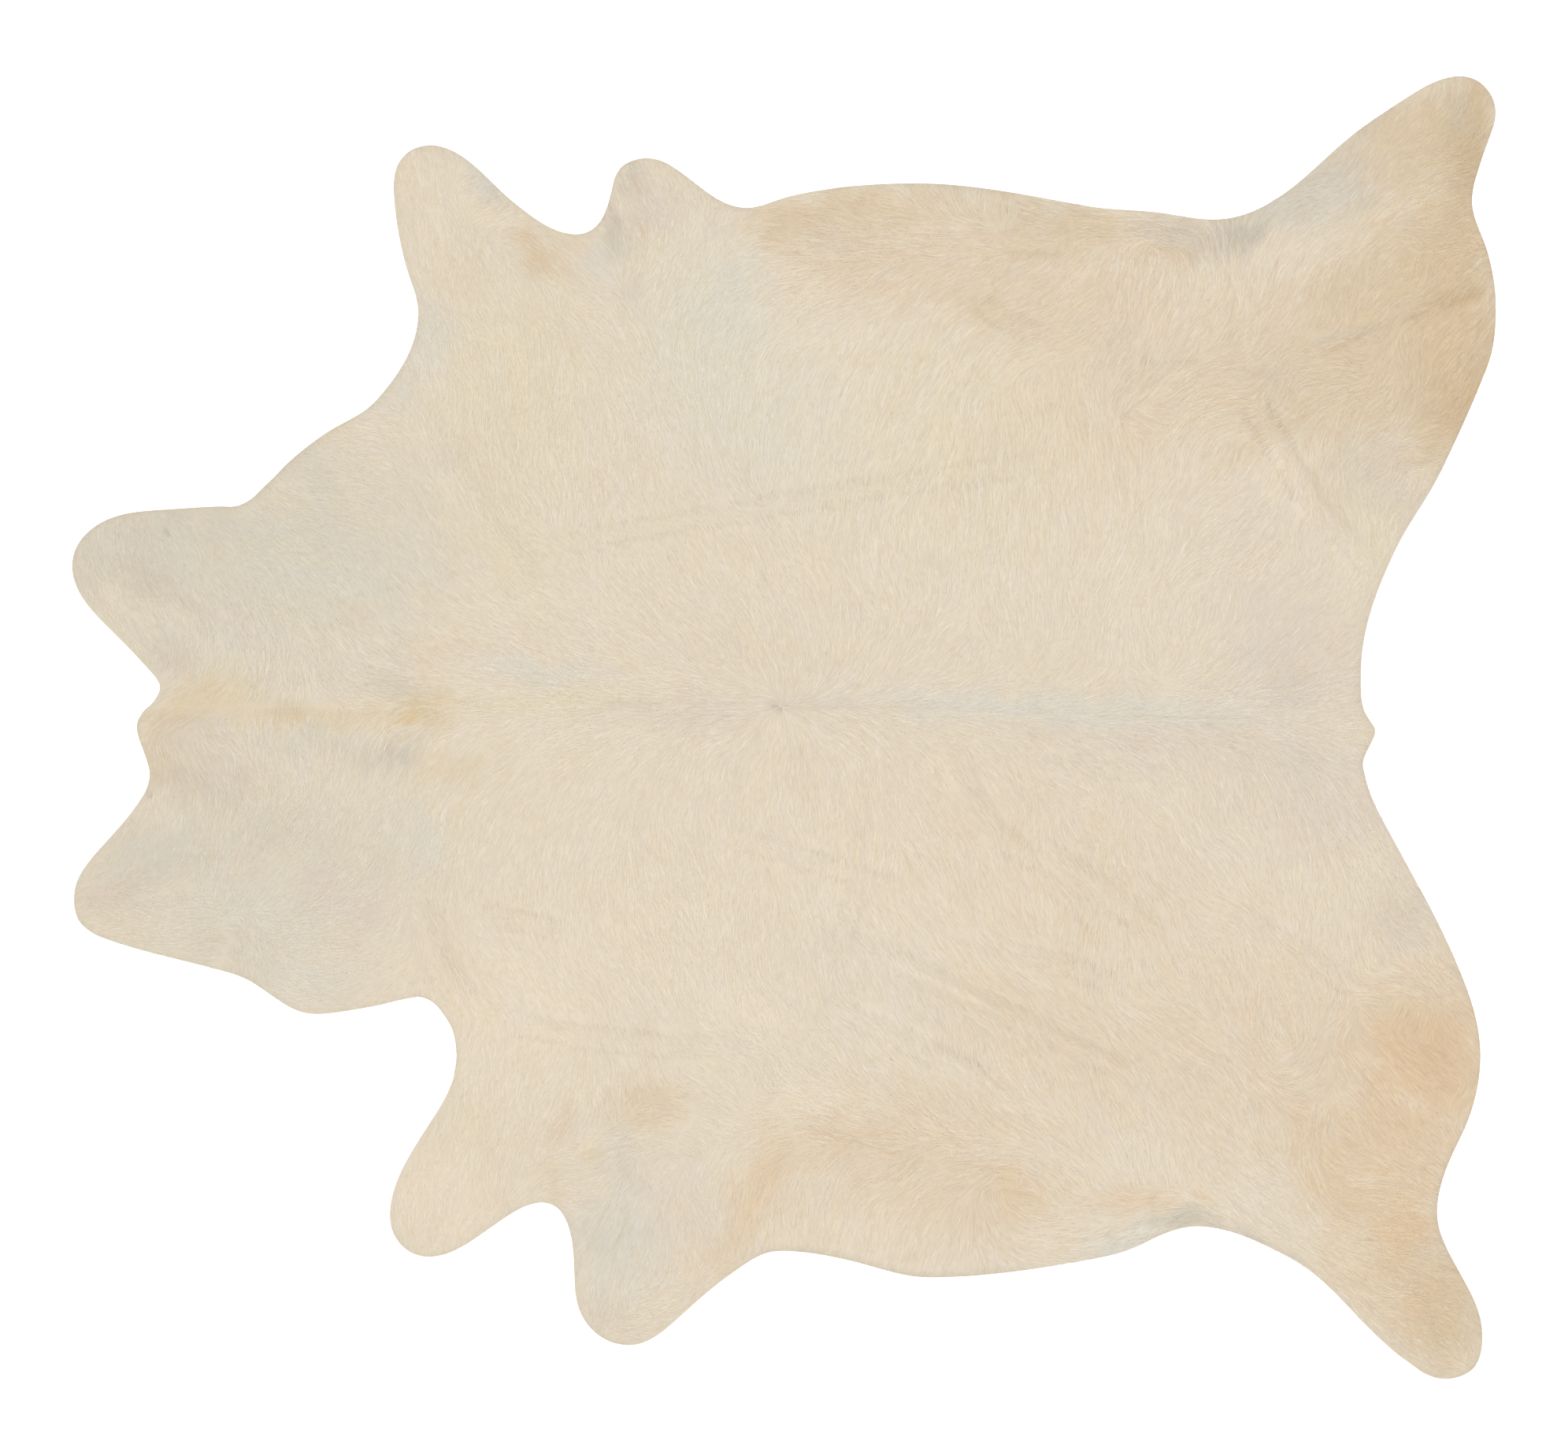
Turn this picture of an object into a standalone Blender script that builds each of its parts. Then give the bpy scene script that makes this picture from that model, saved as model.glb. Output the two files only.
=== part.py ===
"""Natural hair-on cowhide rug, lying flat on the floor with its hair side up.

The rug is one trimmed hide and one solid. Its head end points to -X and its tail to +X,
and the animal's right side lies towards +Y. The flesh side rests on z = 0, and the origin
is under the middle of the hide. The soft folds that still stand in it lift the whole
sheet off the floor in low ridges, and its thickness is leather plus the lying coat.
"""

import math
from typing import NamedTuple

import bpy
import numpy as np
from mathutils import Vector, geometry

MM = 0.001

# Driving dimensions, in millimetres
HIDE_LENGTH = 2205.0  # from the cheeks to the hind legs, along X
HIDE_WIDTH = 2018.0  # from one hind leg's tip to the other's, along Y
LEATHER_THICKNESS = 2.4
COAT_AT_CUT = 1.0  # depth of the hair on the trimmed edge
COAT_ON_LIMBS = 2.4  # depth of the lying hair on legs and cheeks
COAT_ON_BACK = 4.0  # depth of the lying hair on the back and belly
COAT_RIPPLE = 0.5  # how far the coat's depth wanders up and down
EDGE_BAND = 24.0  # width of the strip where the hair gets shorter towards the cut
DEEP_INSIDE = 300.0  # this far from the edge the coat has its full depth

# Spacing of the surface's points, in millimetres
EDGE_STEP = 27.0  # along the cut
RING_LEAST_DEPTH = 22.0  # how near to the cut the ring behind it may come
RING_LEAST_GAP = 11.0
FOLD_STEP = 31.0  # along a fold
FOLD_ROWS = (-1.0, -0.5, 0.0, 0.5, 1.0)  # across a fold, in half widths
FOLD_LEAST_GAP = 9.0
FOLD_EDGE_GAP = 34.0
FOLD_RING_GAP = 16.0
OPEN_STEP = 78.0  # elsewhere
OPEN_EDGE_GAP = 59.0
OPEN_FOLD_GAP = 44.0

HAIR_COLOUR = (0.77, 0.69, 0.54, 1.0)  # linear
HAIR_ROUGHNESS = 0.75
CREASE_ANGLE = 50.0  # degrees, past which an edge is drawn sharp


class Landmark(NamedTuple):
    """A turning point of the trimmed edge, anticlockwise round the hide seen from above."""

    name: str
    x: float  # mm towards the tail
    y: float  # mm towards the animal's right side
    heading: float  # degrees, the way the edge runs there


class Fold(NamedTuple):
    """A soft ridge that stands in the sheet, over a shallow arc between its two ends."""

    name: str
    start_x: float
    start_y: float
    end_x: float
    end_y: float
    bow: float  # mm that the arc bulges to the left of the way from start to end
    height: float
    half_width: float


OUTLINE = (
    Landmark("tail root", 915, -9, 90),
    Landmark("right of the tail", 899, 24, 112),
    Landmark("right tail notch", 893, 84, 90),
    Landmark("right rump", 949, 280, 64),
    Landmark("right thigh", 1015, 393, 64),
    Landmark("right thigh corner", 1089, 560, 69),
    Landmark("right hock bulge", 1102, 651, 90),
    Landmark("right hock", 1089, 737, 106),
    Landmark("right hock waist", 1065, 816, 90),
    Landmark("right hind leg side", 1083, 889, 74),
    Landmark("right hind foot corner", 1100, 966, 106),
    Landmark("right hind foot tip", 1048, 1009, 180),
    Landmark("right hind leg front", 955, 970, 213),
    Landmark("right hind leg root", 856, 898, 222),
    Landmark("right groin", 724, 799, 202),
    Landmark("right flank", 664, 787, 180),
    Landmark("right flank front", 578, 798, 173),
    Landmark("right belly rear", 468, 808, 170),
    Landmark("right belly crown", 205, 843, 180),
    Landmark("right belly front", 5, 822, 194),
    Landmark("right elbow notch", -60, 805, 178),
    Landmark("right elbow rear", -166, 864, 146),
    Landmark("right elbow tip", -210, 882, 180),
    Landmark("right elbow front", -262, 853, 253),
    Landmark("right armpit side", -284, 786, 238),
    Landmark("right armpit", -321, 764, 180),
    Landmark("right foreleg rear", -416, 811, 142),
    Landmark("right forefoot tip", -552, 902, 181),
    Landmark("right forefoot front", -605, 845, 270),
    Landmark("right foreleg front", -586, 715, 285),
    Landmark("right shoulder bay", -567, 643, 270),
    Landmark("right shoulder", -632, 507, 228),
    Landmark("right neck swell", -677, 475, 207),
    Landmark("right neck side", -772, 407, 223),
    Landmark("right throat", -807, 372, 218),
    Landmark("right throat notch", -849, 343, 180),
    Landmark("right jaw", -953, 338, 184),
    Landmark("right cheek top", -1051, 321, 205),
    Landmark("right cheek tip", -1103, 251, 270),
    Landmark("right cheek underside", -1042, 150, 316),
    Landmark("crown dip", -981, 86, 312),
    Landmark("crown notch right", -967, 60, 268),
    Landmark("crown tip", -1003, 4, 270),
    Landmark("crown notch left", -983, -76, 268),
    Landmark("left cheek root", -1003, -120, 236),
    Landmark("left cheek underside", -1062, -190, 229),
    Landmark("left cheek tip", -1100, -262, 270),
    Landmark("left cheek corner", -1090, -303, 308),
    Landmark("left cheek top", -1044, -330, 341),
    Landmark("left jaw", -850, -383, 343),
    Landmark("left throat", -727, -444, 0),
    Landmark("left neck side", -642, -433, 9),
    Landmark("left shoulder corner", -562, -418, 0),
    Landmark("left shoulder bay, top", -526, -447, 310),
    Landmark("left shoulder bay", -508, -512, 270),
    Landmark("left foreleg front", -563, -634, 238),
    Landmark("left forefoot front", -611, -757, 270),
    Landmark("left forefoot tip", -552, -820, 359),
    Landmark("left foreleg rear", -455, -775, 34),
    Landmark("left armpit", -373, -736, 0),
    Landmark("left armpit side", -330, -790, 281),
    Landmark("left elbow front", -323, -880, 277),
    Landmark("left elbow tip", -243, -957, 358),
    Landmark("left elbow rear", -170, -920, 42),
    Landmark("left elbow root", -86, -849, 35),
    Landmark("left elbow notch", -7, -811, 0),
    Landmark("left belly front", 110, -828, 346),
    Landmark("left belly crown", 224, -852, 0),
    Landmark("left belly rear", 440, -830, 10),
    Landmark("left flank rise", 555, -800, 27),
    Landmark("left groin", 639, -773, 0),
    Landmark("left hind leg root", 780, -820, 333),
    Landmark("left hind leg front", 895, -920, 314),
    Landmark("left hind foot front", 969, -985, 326),
    Landmark("left hind foot tip", 1017, -1009, 0),
    Landmark("left hind foot corner", 1065, -995, 44),
    Landmark("left hind foot side", 1081, -941, 90),
    Landmark("left hind leg side", 1037, -828, 118),
    Landmark("left hock waist", 1011, -752, 90),
    Landmark("left thigh corner", 1049, -631, 64),
    Landmark("left hock bulge", 1078, -508, 90),
    Landmark("left thigh", 1031, -342, 114),
    Landmark("left rump", 945, -177, 118),
    Landmark("left tail notch", 897, -50, 90),
)

FOLDS = (
    Fold("right hip", 718, 521, 921, 246, -18, 5.0, 24),
    Fold("right flank, across", 533, 547, 713, 553, 0, 2.0, 18),
    Fold("right thigh, front", 806, 580, 937, 618, 0, 2.0, 18),
    Fold("right thigh, rear", 975, 636, 1075, 676, 0, 3.0, 20),
    Fold("right back, long", -409, 271, 428, 414, 4, 2.0, 18),
    Fold("right neck, long", -809, 151, -401, 240, 2, 1.4, 22),
    Fold("right shoulder", -560, 480, -401, 233, 0, 2.8, 30),
    Fold("right loin, upper", 517, 639, 505, 428, 6, 1.8, 18),
    Fold("right loin, lower", 505, 428, 362, -40, -14, 1.8, 18),
    Fold("right flank, short", 284, 662, 412, 598, 0, 2.0, 18),
    Fold("right neck", -739, 420, -678, 298, 6, 2.0, 26),
    Fold("right cheek", -1030, 212, -880, 163, 0, 3.0, 24),
    Fold("left cheek", -1050, -251, -812, -215, 12, 1.8, 26),
    Fold("left back", 118, 0, 62, -418, 25, 2.2, 18),
    Fold("left loin, upper", 268, -5, 390, -215, -27, 3.6, 22),
    Fold("left loin, lower", 384, -220, 488, -300, 0, 2.2, 20),
    Fold("left rump", 394, -188, 589, -327, 5, 3.6, 24),
    Fold("left croup", 371, -52, 655, -84, 4, 1.6, 18),
    Fold("left flank, first", -93, -166, 200, -255, 0, 1.8, 18),
    Fold("left flank, second", 97, -328, 585, -556, 0, 3.6, 22),
    Fold("left flank, third", 54, -425, 384, -595, 10, 3.6, 20),
    Fold("left flank, short", 330, -345, 526, -402, 4, 2.2, 18),
    Fold("left thigh", 738, -306, 890, -404, -4, 2.2, 20),
    Fold("left shoulder, hook", -548, -272, -450, -450, -19, 3.0, 22),
    Fold("left shoulder, long", -450, -450, -77, -499, -10, 2.4, 20),
    Fold("left shoulder, short", -475, -288, -329, -320, 3, 2.4, 18),
)


def clear_scene():
    """Removes whatever the file holds."""
    for obj in list(bpy.data.objects):
        bpy.data.objects.remove(obj, do_unlink=True)


def edge_span(here, there):
    """Points of the edge from one landmark up to the next, without the last one.

    The span is a cubic Hermite curve. Its pull is the one that makes a circular arc of
    the same turn, so round stretches come out round.
    """
    start, end = np.array([here.x, here.y]), np.array([there.x, there.y])
    chord = np.linalg.norm(end - start)
    turn = (there.heading - here.heading + 180.0) % 360.0 - 180.0
    pull = chord / math.cos(math.radians(turn) / 4) ** 2
    leave, arrive = (
        pull * np.array([math.cos(math.radians(mark.heading)), math.sin(math.radians(mark.heading))])
        for mark in (here, there)
    )
    t = np.linspace(0.0, 1.0, math.ceil(chord / EDGE_STEP) + 1)[:-1, None]
    return (
        (2 * t**3 - 3 * t**2 + 1) * start
        + (t**3 - 2 * t**2 + t) * leave
        + (3 * t**2 - 2 * t**3) * end
        + (t**3 - t**2) * arrive
    )


def trimmed_edge():
    """The closed edge as an array of points, anticlockwise, in the table's millimetres."""
    following = OUTLINE[1:] + OUTLINE[:1]
    return np.concatenate([edge_span(here, there) for here, there in zip(OUTLINE, following)])


def depth_inside(points, edge):
    """Distance of each point from the edge, positive inside the hide."""
    ahead = np.roll(edge, -1, axis=0)
    along = ahead - edge
    offset = points[:, None, :] - edge[None, :, :]
    share = np.clip((offset * along).sum(axis=2) / (along**2).sum(axis=1), 0.0, 1.0)
    nearest = np.linalg.norm(offset - share[:, :, None] * along, axis=2).min(axis=1)
    low, high = edge[:, 1], ahead[:, 1]
    py = points[:, 1, None]
    crosses = (low > py) != (high > py)
    rise = np.where(high == low, 1.0, high - low)
    meets_x = edge[:, 0] + (py - low) * along[:, 0] / rise
    inside = (crosses & (points[:, 0, None] < meets_x)).sum(axis=1) % 2 == 1
    return np.where(inside, nearest, -nearest)


def smooth_step(value):
    """0 up to 0, 1 from 1, and an even ease between."""
    value = np.clip(value, 0.0, 1.0)
    return value * value * (3.0 - 2.0 * value)


def fold_axes(fold):
    """Start, length, and the directions along and to the left of a fold."""
    start = np.array([fold.start_x, fold.start_y])
    run = np.array([fold.end_x, fold.end_y]) - start
    length = np.linalg.norm(run)
    along = run / length
    return start, length, along, np.array([-along[1], along[0]])


def lift(points):
    """Height of the sheet's underside over the floor, from its folds.

    Where two folds cross, the squares of their heights add up, so the higher one leads.
    """
    squares = np.zeros(len(points))
    for fold in FOLDS:
        start, length, along, left = fold_axes(fold)
        share = (points - start) @ along / length
        across = (points - start) @ left - fold.bow * 4 * share * (1 - share)
        crest = np.clip(1 - (2 * share - 1) ** 4, 0.0, None)
        slope = np.clip(1 - (across / fold.half_width) ** 2, 0.0, None) ** 2
        squares += (fold.height * crest * slope) ** 2
    return np.sqrt(squares)


def coat_depth(points, depth):
    """Depth of the lying hair: short at the cut, full on the back, with a slow ripple."""
    x, y = points.T
    full = COAT_ON_LIMBS + (COAT_ON_BACK - COAT_ON_LIMBS) * smooth_step(depth / DEEP_INSIDE)
    ripple = np.sin(x / 61 + 1.3 * np.sin(y / 97)) * np.sin(y / 53 + 1.1 * np.sin(x / 83))
    grown = smooth_step(depth / EDGE_BAND)
    return COAT_AT_CUT + (full + COAT_RIPPLE * ripple - COAT_AT_CUT) * grown


def apart_from(points, others, gap):
    """The points that lie at least the gap from all the others."""
    reach = np.linalg.norm(points[:, None, :] - others[None, :, :], axis=2).min(axis=1)
    return points[reach >= gap]


def points_along_folds():
    """Rows of points beside each fold's crest, so that the ridges come out clean."""
    kept = np.empty((0, 2))
    for fold in FOLDS:
        start, length, along, left = fold_axes(fold)
        share = np.linspace(0.0, 1.0, math.ceil(length / FOLD_STEP) + 1)[:, None, None]
        rows = np.array(FOLD_ROWS)[None, :, None] * fold.half_width
        aside = rows + fold.bow * 4 * share * (1 - share)
        grid = (start + share * length * along + aside * left).reshape(-1, 2)
        fresh = grid if not len(kept) else apart_from(grid, kept, FOLD_LEAST_GAP)
        kept = np.concatenate([kept, fresh])
    return kept


def open_lattice(edge):
    """A triangular lattice of points over the whole hide."""
    low, high = edge.min(axis=0), edge.max(axis=0)
    row_step = OPEN_STEP * math.sqrt(3) / 2
    rows = np.arange(low[1], high[1], row_step)
    columns = np.arange(low[0], high[0], OPEN_STEP)
    x, y = np.meshgrid(columns, rows)
    x = x + OPEN_STEP / 2 * (np.arange(len(rows)) % 2)[:, None]
    return np.stack([x.ravel(), y.ravel()], axis=1)


def band_inside(edge):
    """A second ring of points, where the coat reaches its depth behind the cut."""
    run = np.roll(edge, -1, axis=0) - np.roll(edge, 1, axis=0)
    inward = np.stack([-run[:, 1], run[:, 0]], axis=1) / np.linalg.norm(run, axis=1)[:, None]
    ring = edge + EDGE_BAND * inward
    ring = ring[depth_inside(ring, edge) > RING_LEAST_DEPTH]
    gaps = np.linalg.norm(ring - np.roll(ring, 1, axis=0), axis=1)
    return ring[gaps > RING_LEAST_GAP]


def surface_points(edge):
    """The edge first, then the ring behind it, the folds' rows and the open lattice."""
    ring = band_inside(edge)
    folds = points_along_folds()
    folds = folds[depth_inside(folds, edge) > FOLD_EDGE_GAP]
    folds = apart_from(folds, ring, FOLD_RING_GAP)
    lattice = open_lattice(edge)
    lattice = lattice[depth_inside(lattice, edge) > OPEN_EDGE_GAP]
    lattice = apart_from(lattice, folds, OPEN_FOLD_GAP)
    return np.concatenate([edge, ring, folds, lattice])


def fitted(points, edge):
    """Points of the tables moved and stretched to the driving length and width."""
    low, high = edge.min(axis=0), edge.max(axis=0)
    size = np.array([HIDE_LENGTH, HIDE_WIDTH])
    return (points - (low + high) / 2) * size / (high - low)


def hide_material():
    """Pale cream hair, matt."""
    material = bpy.data.materials.new("cream hair")
    material.use_nodes = True
    shader = material.node_tree.nodes["Principled BSDF"]
    shader.inputs["Base Color"].default_value = HAIR_COLOUR
    shader.inputs["Roughness"].default_value = HAIR_ROUGHNESS
    shader.inputs["Metallic"].default_value = 0.0
    return material


def build_hide():
    """The hide: hair side above, flesh side below, and the cut edge between them."""
    edge = trimmed_edge()
    flat = surface_points(edge)
    ring = list(range(len(edge)))
    vectors = [Vector(point) for point in flat.tolist()]
    spread, _, triangles, _, _, _ = geometry.delaunay_2d_cdt(vectors, [], [ring], 1, 1e-4)
    flat = np.array([tuple(point) for point in spread])
    underside = lift(flat)
    top = underside + LEATHER_THICKNESS + coat_depth(flat, depth_inside(flat, edge))
    floor_plan = fitted(flat, edge)
    above = np.column_stack([floor_plan, top]) * MM
    below = np.column_stack([floor_plan, underside]) * MM
    count = len(flat)
    faces = [tuple(face) for face in triangles]
    faces += [tuple(index + count for index in reversed(face)) for face in triangles]
    for here, there in zip(ring, ring[1:] + ring[:1]):
        faces.append((here, here + count, there + count, there))
    mesh = bpy.data.meshes.new("hide")
    mesh.from_pydata(np.concatenate([above, below]).tolist(), [], faces)
    mesh.validate()
    mesh.shade_smooth()
    mesh.set_sharp_from_angle(angle=math.radians(CREASE_ANGLE))
    mesh.materials.append(hide_material())
    hide = bpy.data.objects.new("hide", mesh)
    bpy.context.scene.collection.objects.link(hide)


def main():
    clear_scene()
    build_hide()


main()
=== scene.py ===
"""Natural cream cowhide rug: the tanned sheet, its lying coat, and the studio around it.

The hide lies on the floor with its hair side up, its head end to -X and its tail to +X.
Lengths are millimetres on the hide until a mesh is made, and metres in the scene.
Places that are read off the photograph are kept in its own pixels, as columns named
across and down, and PhotoFrame turns them into millimetres on the hide.
"""

import logging
import math
from dataclasses import dataclass, field
from enum import Enum
from typing import Any, NamedTuple

import bpy
import numpy as np
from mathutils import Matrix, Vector, geometry


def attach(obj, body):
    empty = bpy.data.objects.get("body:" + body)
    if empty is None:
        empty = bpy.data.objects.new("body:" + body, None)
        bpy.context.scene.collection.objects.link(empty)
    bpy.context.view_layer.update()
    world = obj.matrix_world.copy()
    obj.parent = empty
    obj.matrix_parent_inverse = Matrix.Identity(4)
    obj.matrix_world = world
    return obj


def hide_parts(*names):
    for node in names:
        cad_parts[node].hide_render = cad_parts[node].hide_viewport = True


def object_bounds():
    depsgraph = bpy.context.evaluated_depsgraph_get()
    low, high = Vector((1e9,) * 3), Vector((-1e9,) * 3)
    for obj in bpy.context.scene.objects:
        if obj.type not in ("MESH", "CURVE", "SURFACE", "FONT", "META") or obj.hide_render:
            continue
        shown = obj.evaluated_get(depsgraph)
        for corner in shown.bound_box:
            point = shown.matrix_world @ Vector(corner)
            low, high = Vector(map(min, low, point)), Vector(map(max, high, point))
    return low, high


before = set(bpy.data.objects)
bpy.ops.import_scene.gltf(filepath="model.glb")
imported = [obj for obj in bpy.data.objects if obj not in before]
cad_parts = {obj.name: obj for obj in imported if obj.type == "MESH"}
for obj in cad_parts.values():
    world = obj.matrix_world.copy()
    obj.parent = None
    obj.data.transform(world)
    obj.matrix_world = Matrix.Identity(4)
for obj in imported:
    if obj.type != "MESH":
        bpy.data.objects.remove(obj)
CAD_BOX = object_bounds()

log = logging.getLogger("cowhide")
MM = 0.001
BAKE_MAP = "OFBake"  # the UV map on which each piece's colours are laid out
TONE = "tone"  # the attribute that holds each lock's colour
NODE = "hide"
WHITE = (1.0, 1.0, 1.0, 1.0)


class Comb(NamedTuple):
    """One place where the lie of the hair was read."""

    across: int
    down: int
    lean: int  # degrees anticlockwise from the way to the tail, as a line without a sense


class Whorl(NamedTuple):
    """A centre that hair turns round or spreads from."""

    name: str
    across: int
    down: int
    reach: float  # px
    swirl: float  # degrees between the hair and the line from the centre
    flatten: float  # how much longer it is across than down
    hold: float  # share of the comb that it takes over at its centre


class Growth(NamedTuple):
    """Length and width of a lock of hair near one place, and how far the locks differ."""

    across: int
    down: int
    length: float  # mm
    width: float  # mm
    marked: float  # strength of the strokes that they draw


class Tone(Enum):
    """Hair colours of the hide, as sRGB hex."""

    CREAM = "#E3D6C0"
    WARM_CREAM = "#E8DAC3"
    OLIVE_CREAM = "#E0D4B8"
    PALE_GREEN = "#DFD7C3"
    GREY_CREAM = "#DAD1BD"
    SMOKE = "#D1C9B9"
    SLATE = "#CAC1AF"
    COOL = "#DAD4C6"
    LILAC = "#DCCFBE"
    MUSHROOM = "#D3C6B3"
    STRAW = "#DBC8A6"
    SAND = "#DECBB1"
    TAN = "#D7C09F"
    KHAKI = "#D2C1A2"
    PEACH = "#DEC29E"
    GOLD = "#D9BC8C"
    DEEP_TAN = "#CDB592"
    UMBER = "#8E7663"


class Patch(NamedTuple):
    """A soft oval of another hair colour; a few of them are painted shade or a painted highlight.
    """

    across: int
    down: int
    wide: float  # px from the middle to where it has faded, along its length
    high: float  # px, across its length
    turn: float  # degrees anticlockwise
    tone: Tone
    share: float


class CreaseLightAndShade(NamedTuple):
    """Painted shade along a fold, parting or clump of the hair, or a painted highlight
    where its depth is negative.
    """

    start_across: int
    start_down: int
    end_across: int
    end_down: int
    half_width: float  # px
    depth: float  # share of painted shade by which it darkens the hair, negative for a painted highlight
    bow: float = 0.0  # px that it bulges to the left of the way from start to end


class Fold(NamedTuple):
    """A soft ridge of the sheet between two ends, in millimetres on the hide."""

    name: str
    start_x: float
    start_y: float
    end_x: float
    end_y: float
    bow: float  # how far the arc bulges to the left of the way from start to end
    height: float
    half_width: float


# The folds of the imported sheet, in its own sizes
FOLDS = (
    Fold("right hip", 718, 521, 921, 246, -18, 5.0, 24),
    Fold("right flank, across", 533, 547, 713, 553, 0, 2.0, 18),
    Fold("right thigh, front", 806, 580, 937, 618, 0, 2.0, 18),
    Fold("right thigh, rear", 975, 636, 1075, 676, 0, 3.0, 20),
    Fold("right back, long", -409, 271, 428, 414, 4, 2.0, 18),
    Fold("right neck, long", -809, 151, -401, 240, 2, 1.4, 22),
    Fold("right shoulder", -560, 480, -401, 233, 0, 2.8, 30),
    Fold("right loin, upper", 517, 639, 505, 428, 6, 1.8, 18),
    Fold("right loin, lower", 505, 428, 362, -40, -14, 1.8, 18),
    Fold("right flank, short", 284, 662, 412, 598, 0, 2.0, 18),
    Fold("right neck", -739, 420, -678, 298, 6, 2.0, 26),
    Fold("right cheek", -1030, 212, -880, 163, 0, 3.0, 24),
    Fold("left cheek", -1050, -251, -812, -215, 12, 1.8, 26),
    Fold("left back", 118, 0, 62, -418, 25, 2.2, 18),
    Fold("left loin, upper", 268, -5, 390, -215, -27, 3.6, 22),
    Fold("left loin, lower", 384, -220, 488, -300, 0, 2.2, 20),
    Fold("left rump", 394, -188, 589, -327, 5, 3.6, 24),
    Fold("left croup", 371, -52, 655, -84, 4, 1.6, 18),
    Fold("left flank, first", -93, -166, 200, -255, 0, 1.8, 18),
    Fold("left flank, second", 97, -328, 585, -556, 0, 3.6, 22),
    Fold("left flank, third", 54, -425, 384, -595, 10, 3.6, 20),
    Fold("left flank, short", 330, -345, 526, -402, 4, 2.2, 18),
    Fold("left thigh", 738, -306, 890, -404, -4, 2.2, 20),
    Fold("left shoulder, hook", -548, -272, -450, -450, -19, 3.0, 22),
    Fold("left shoulder, long", -450, -450, -77, -499, -10, 2.4, 20),
    Fold("left shoulder, short", -475, -288, -329, -320, 3, 2.4, 18),
)
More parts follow.
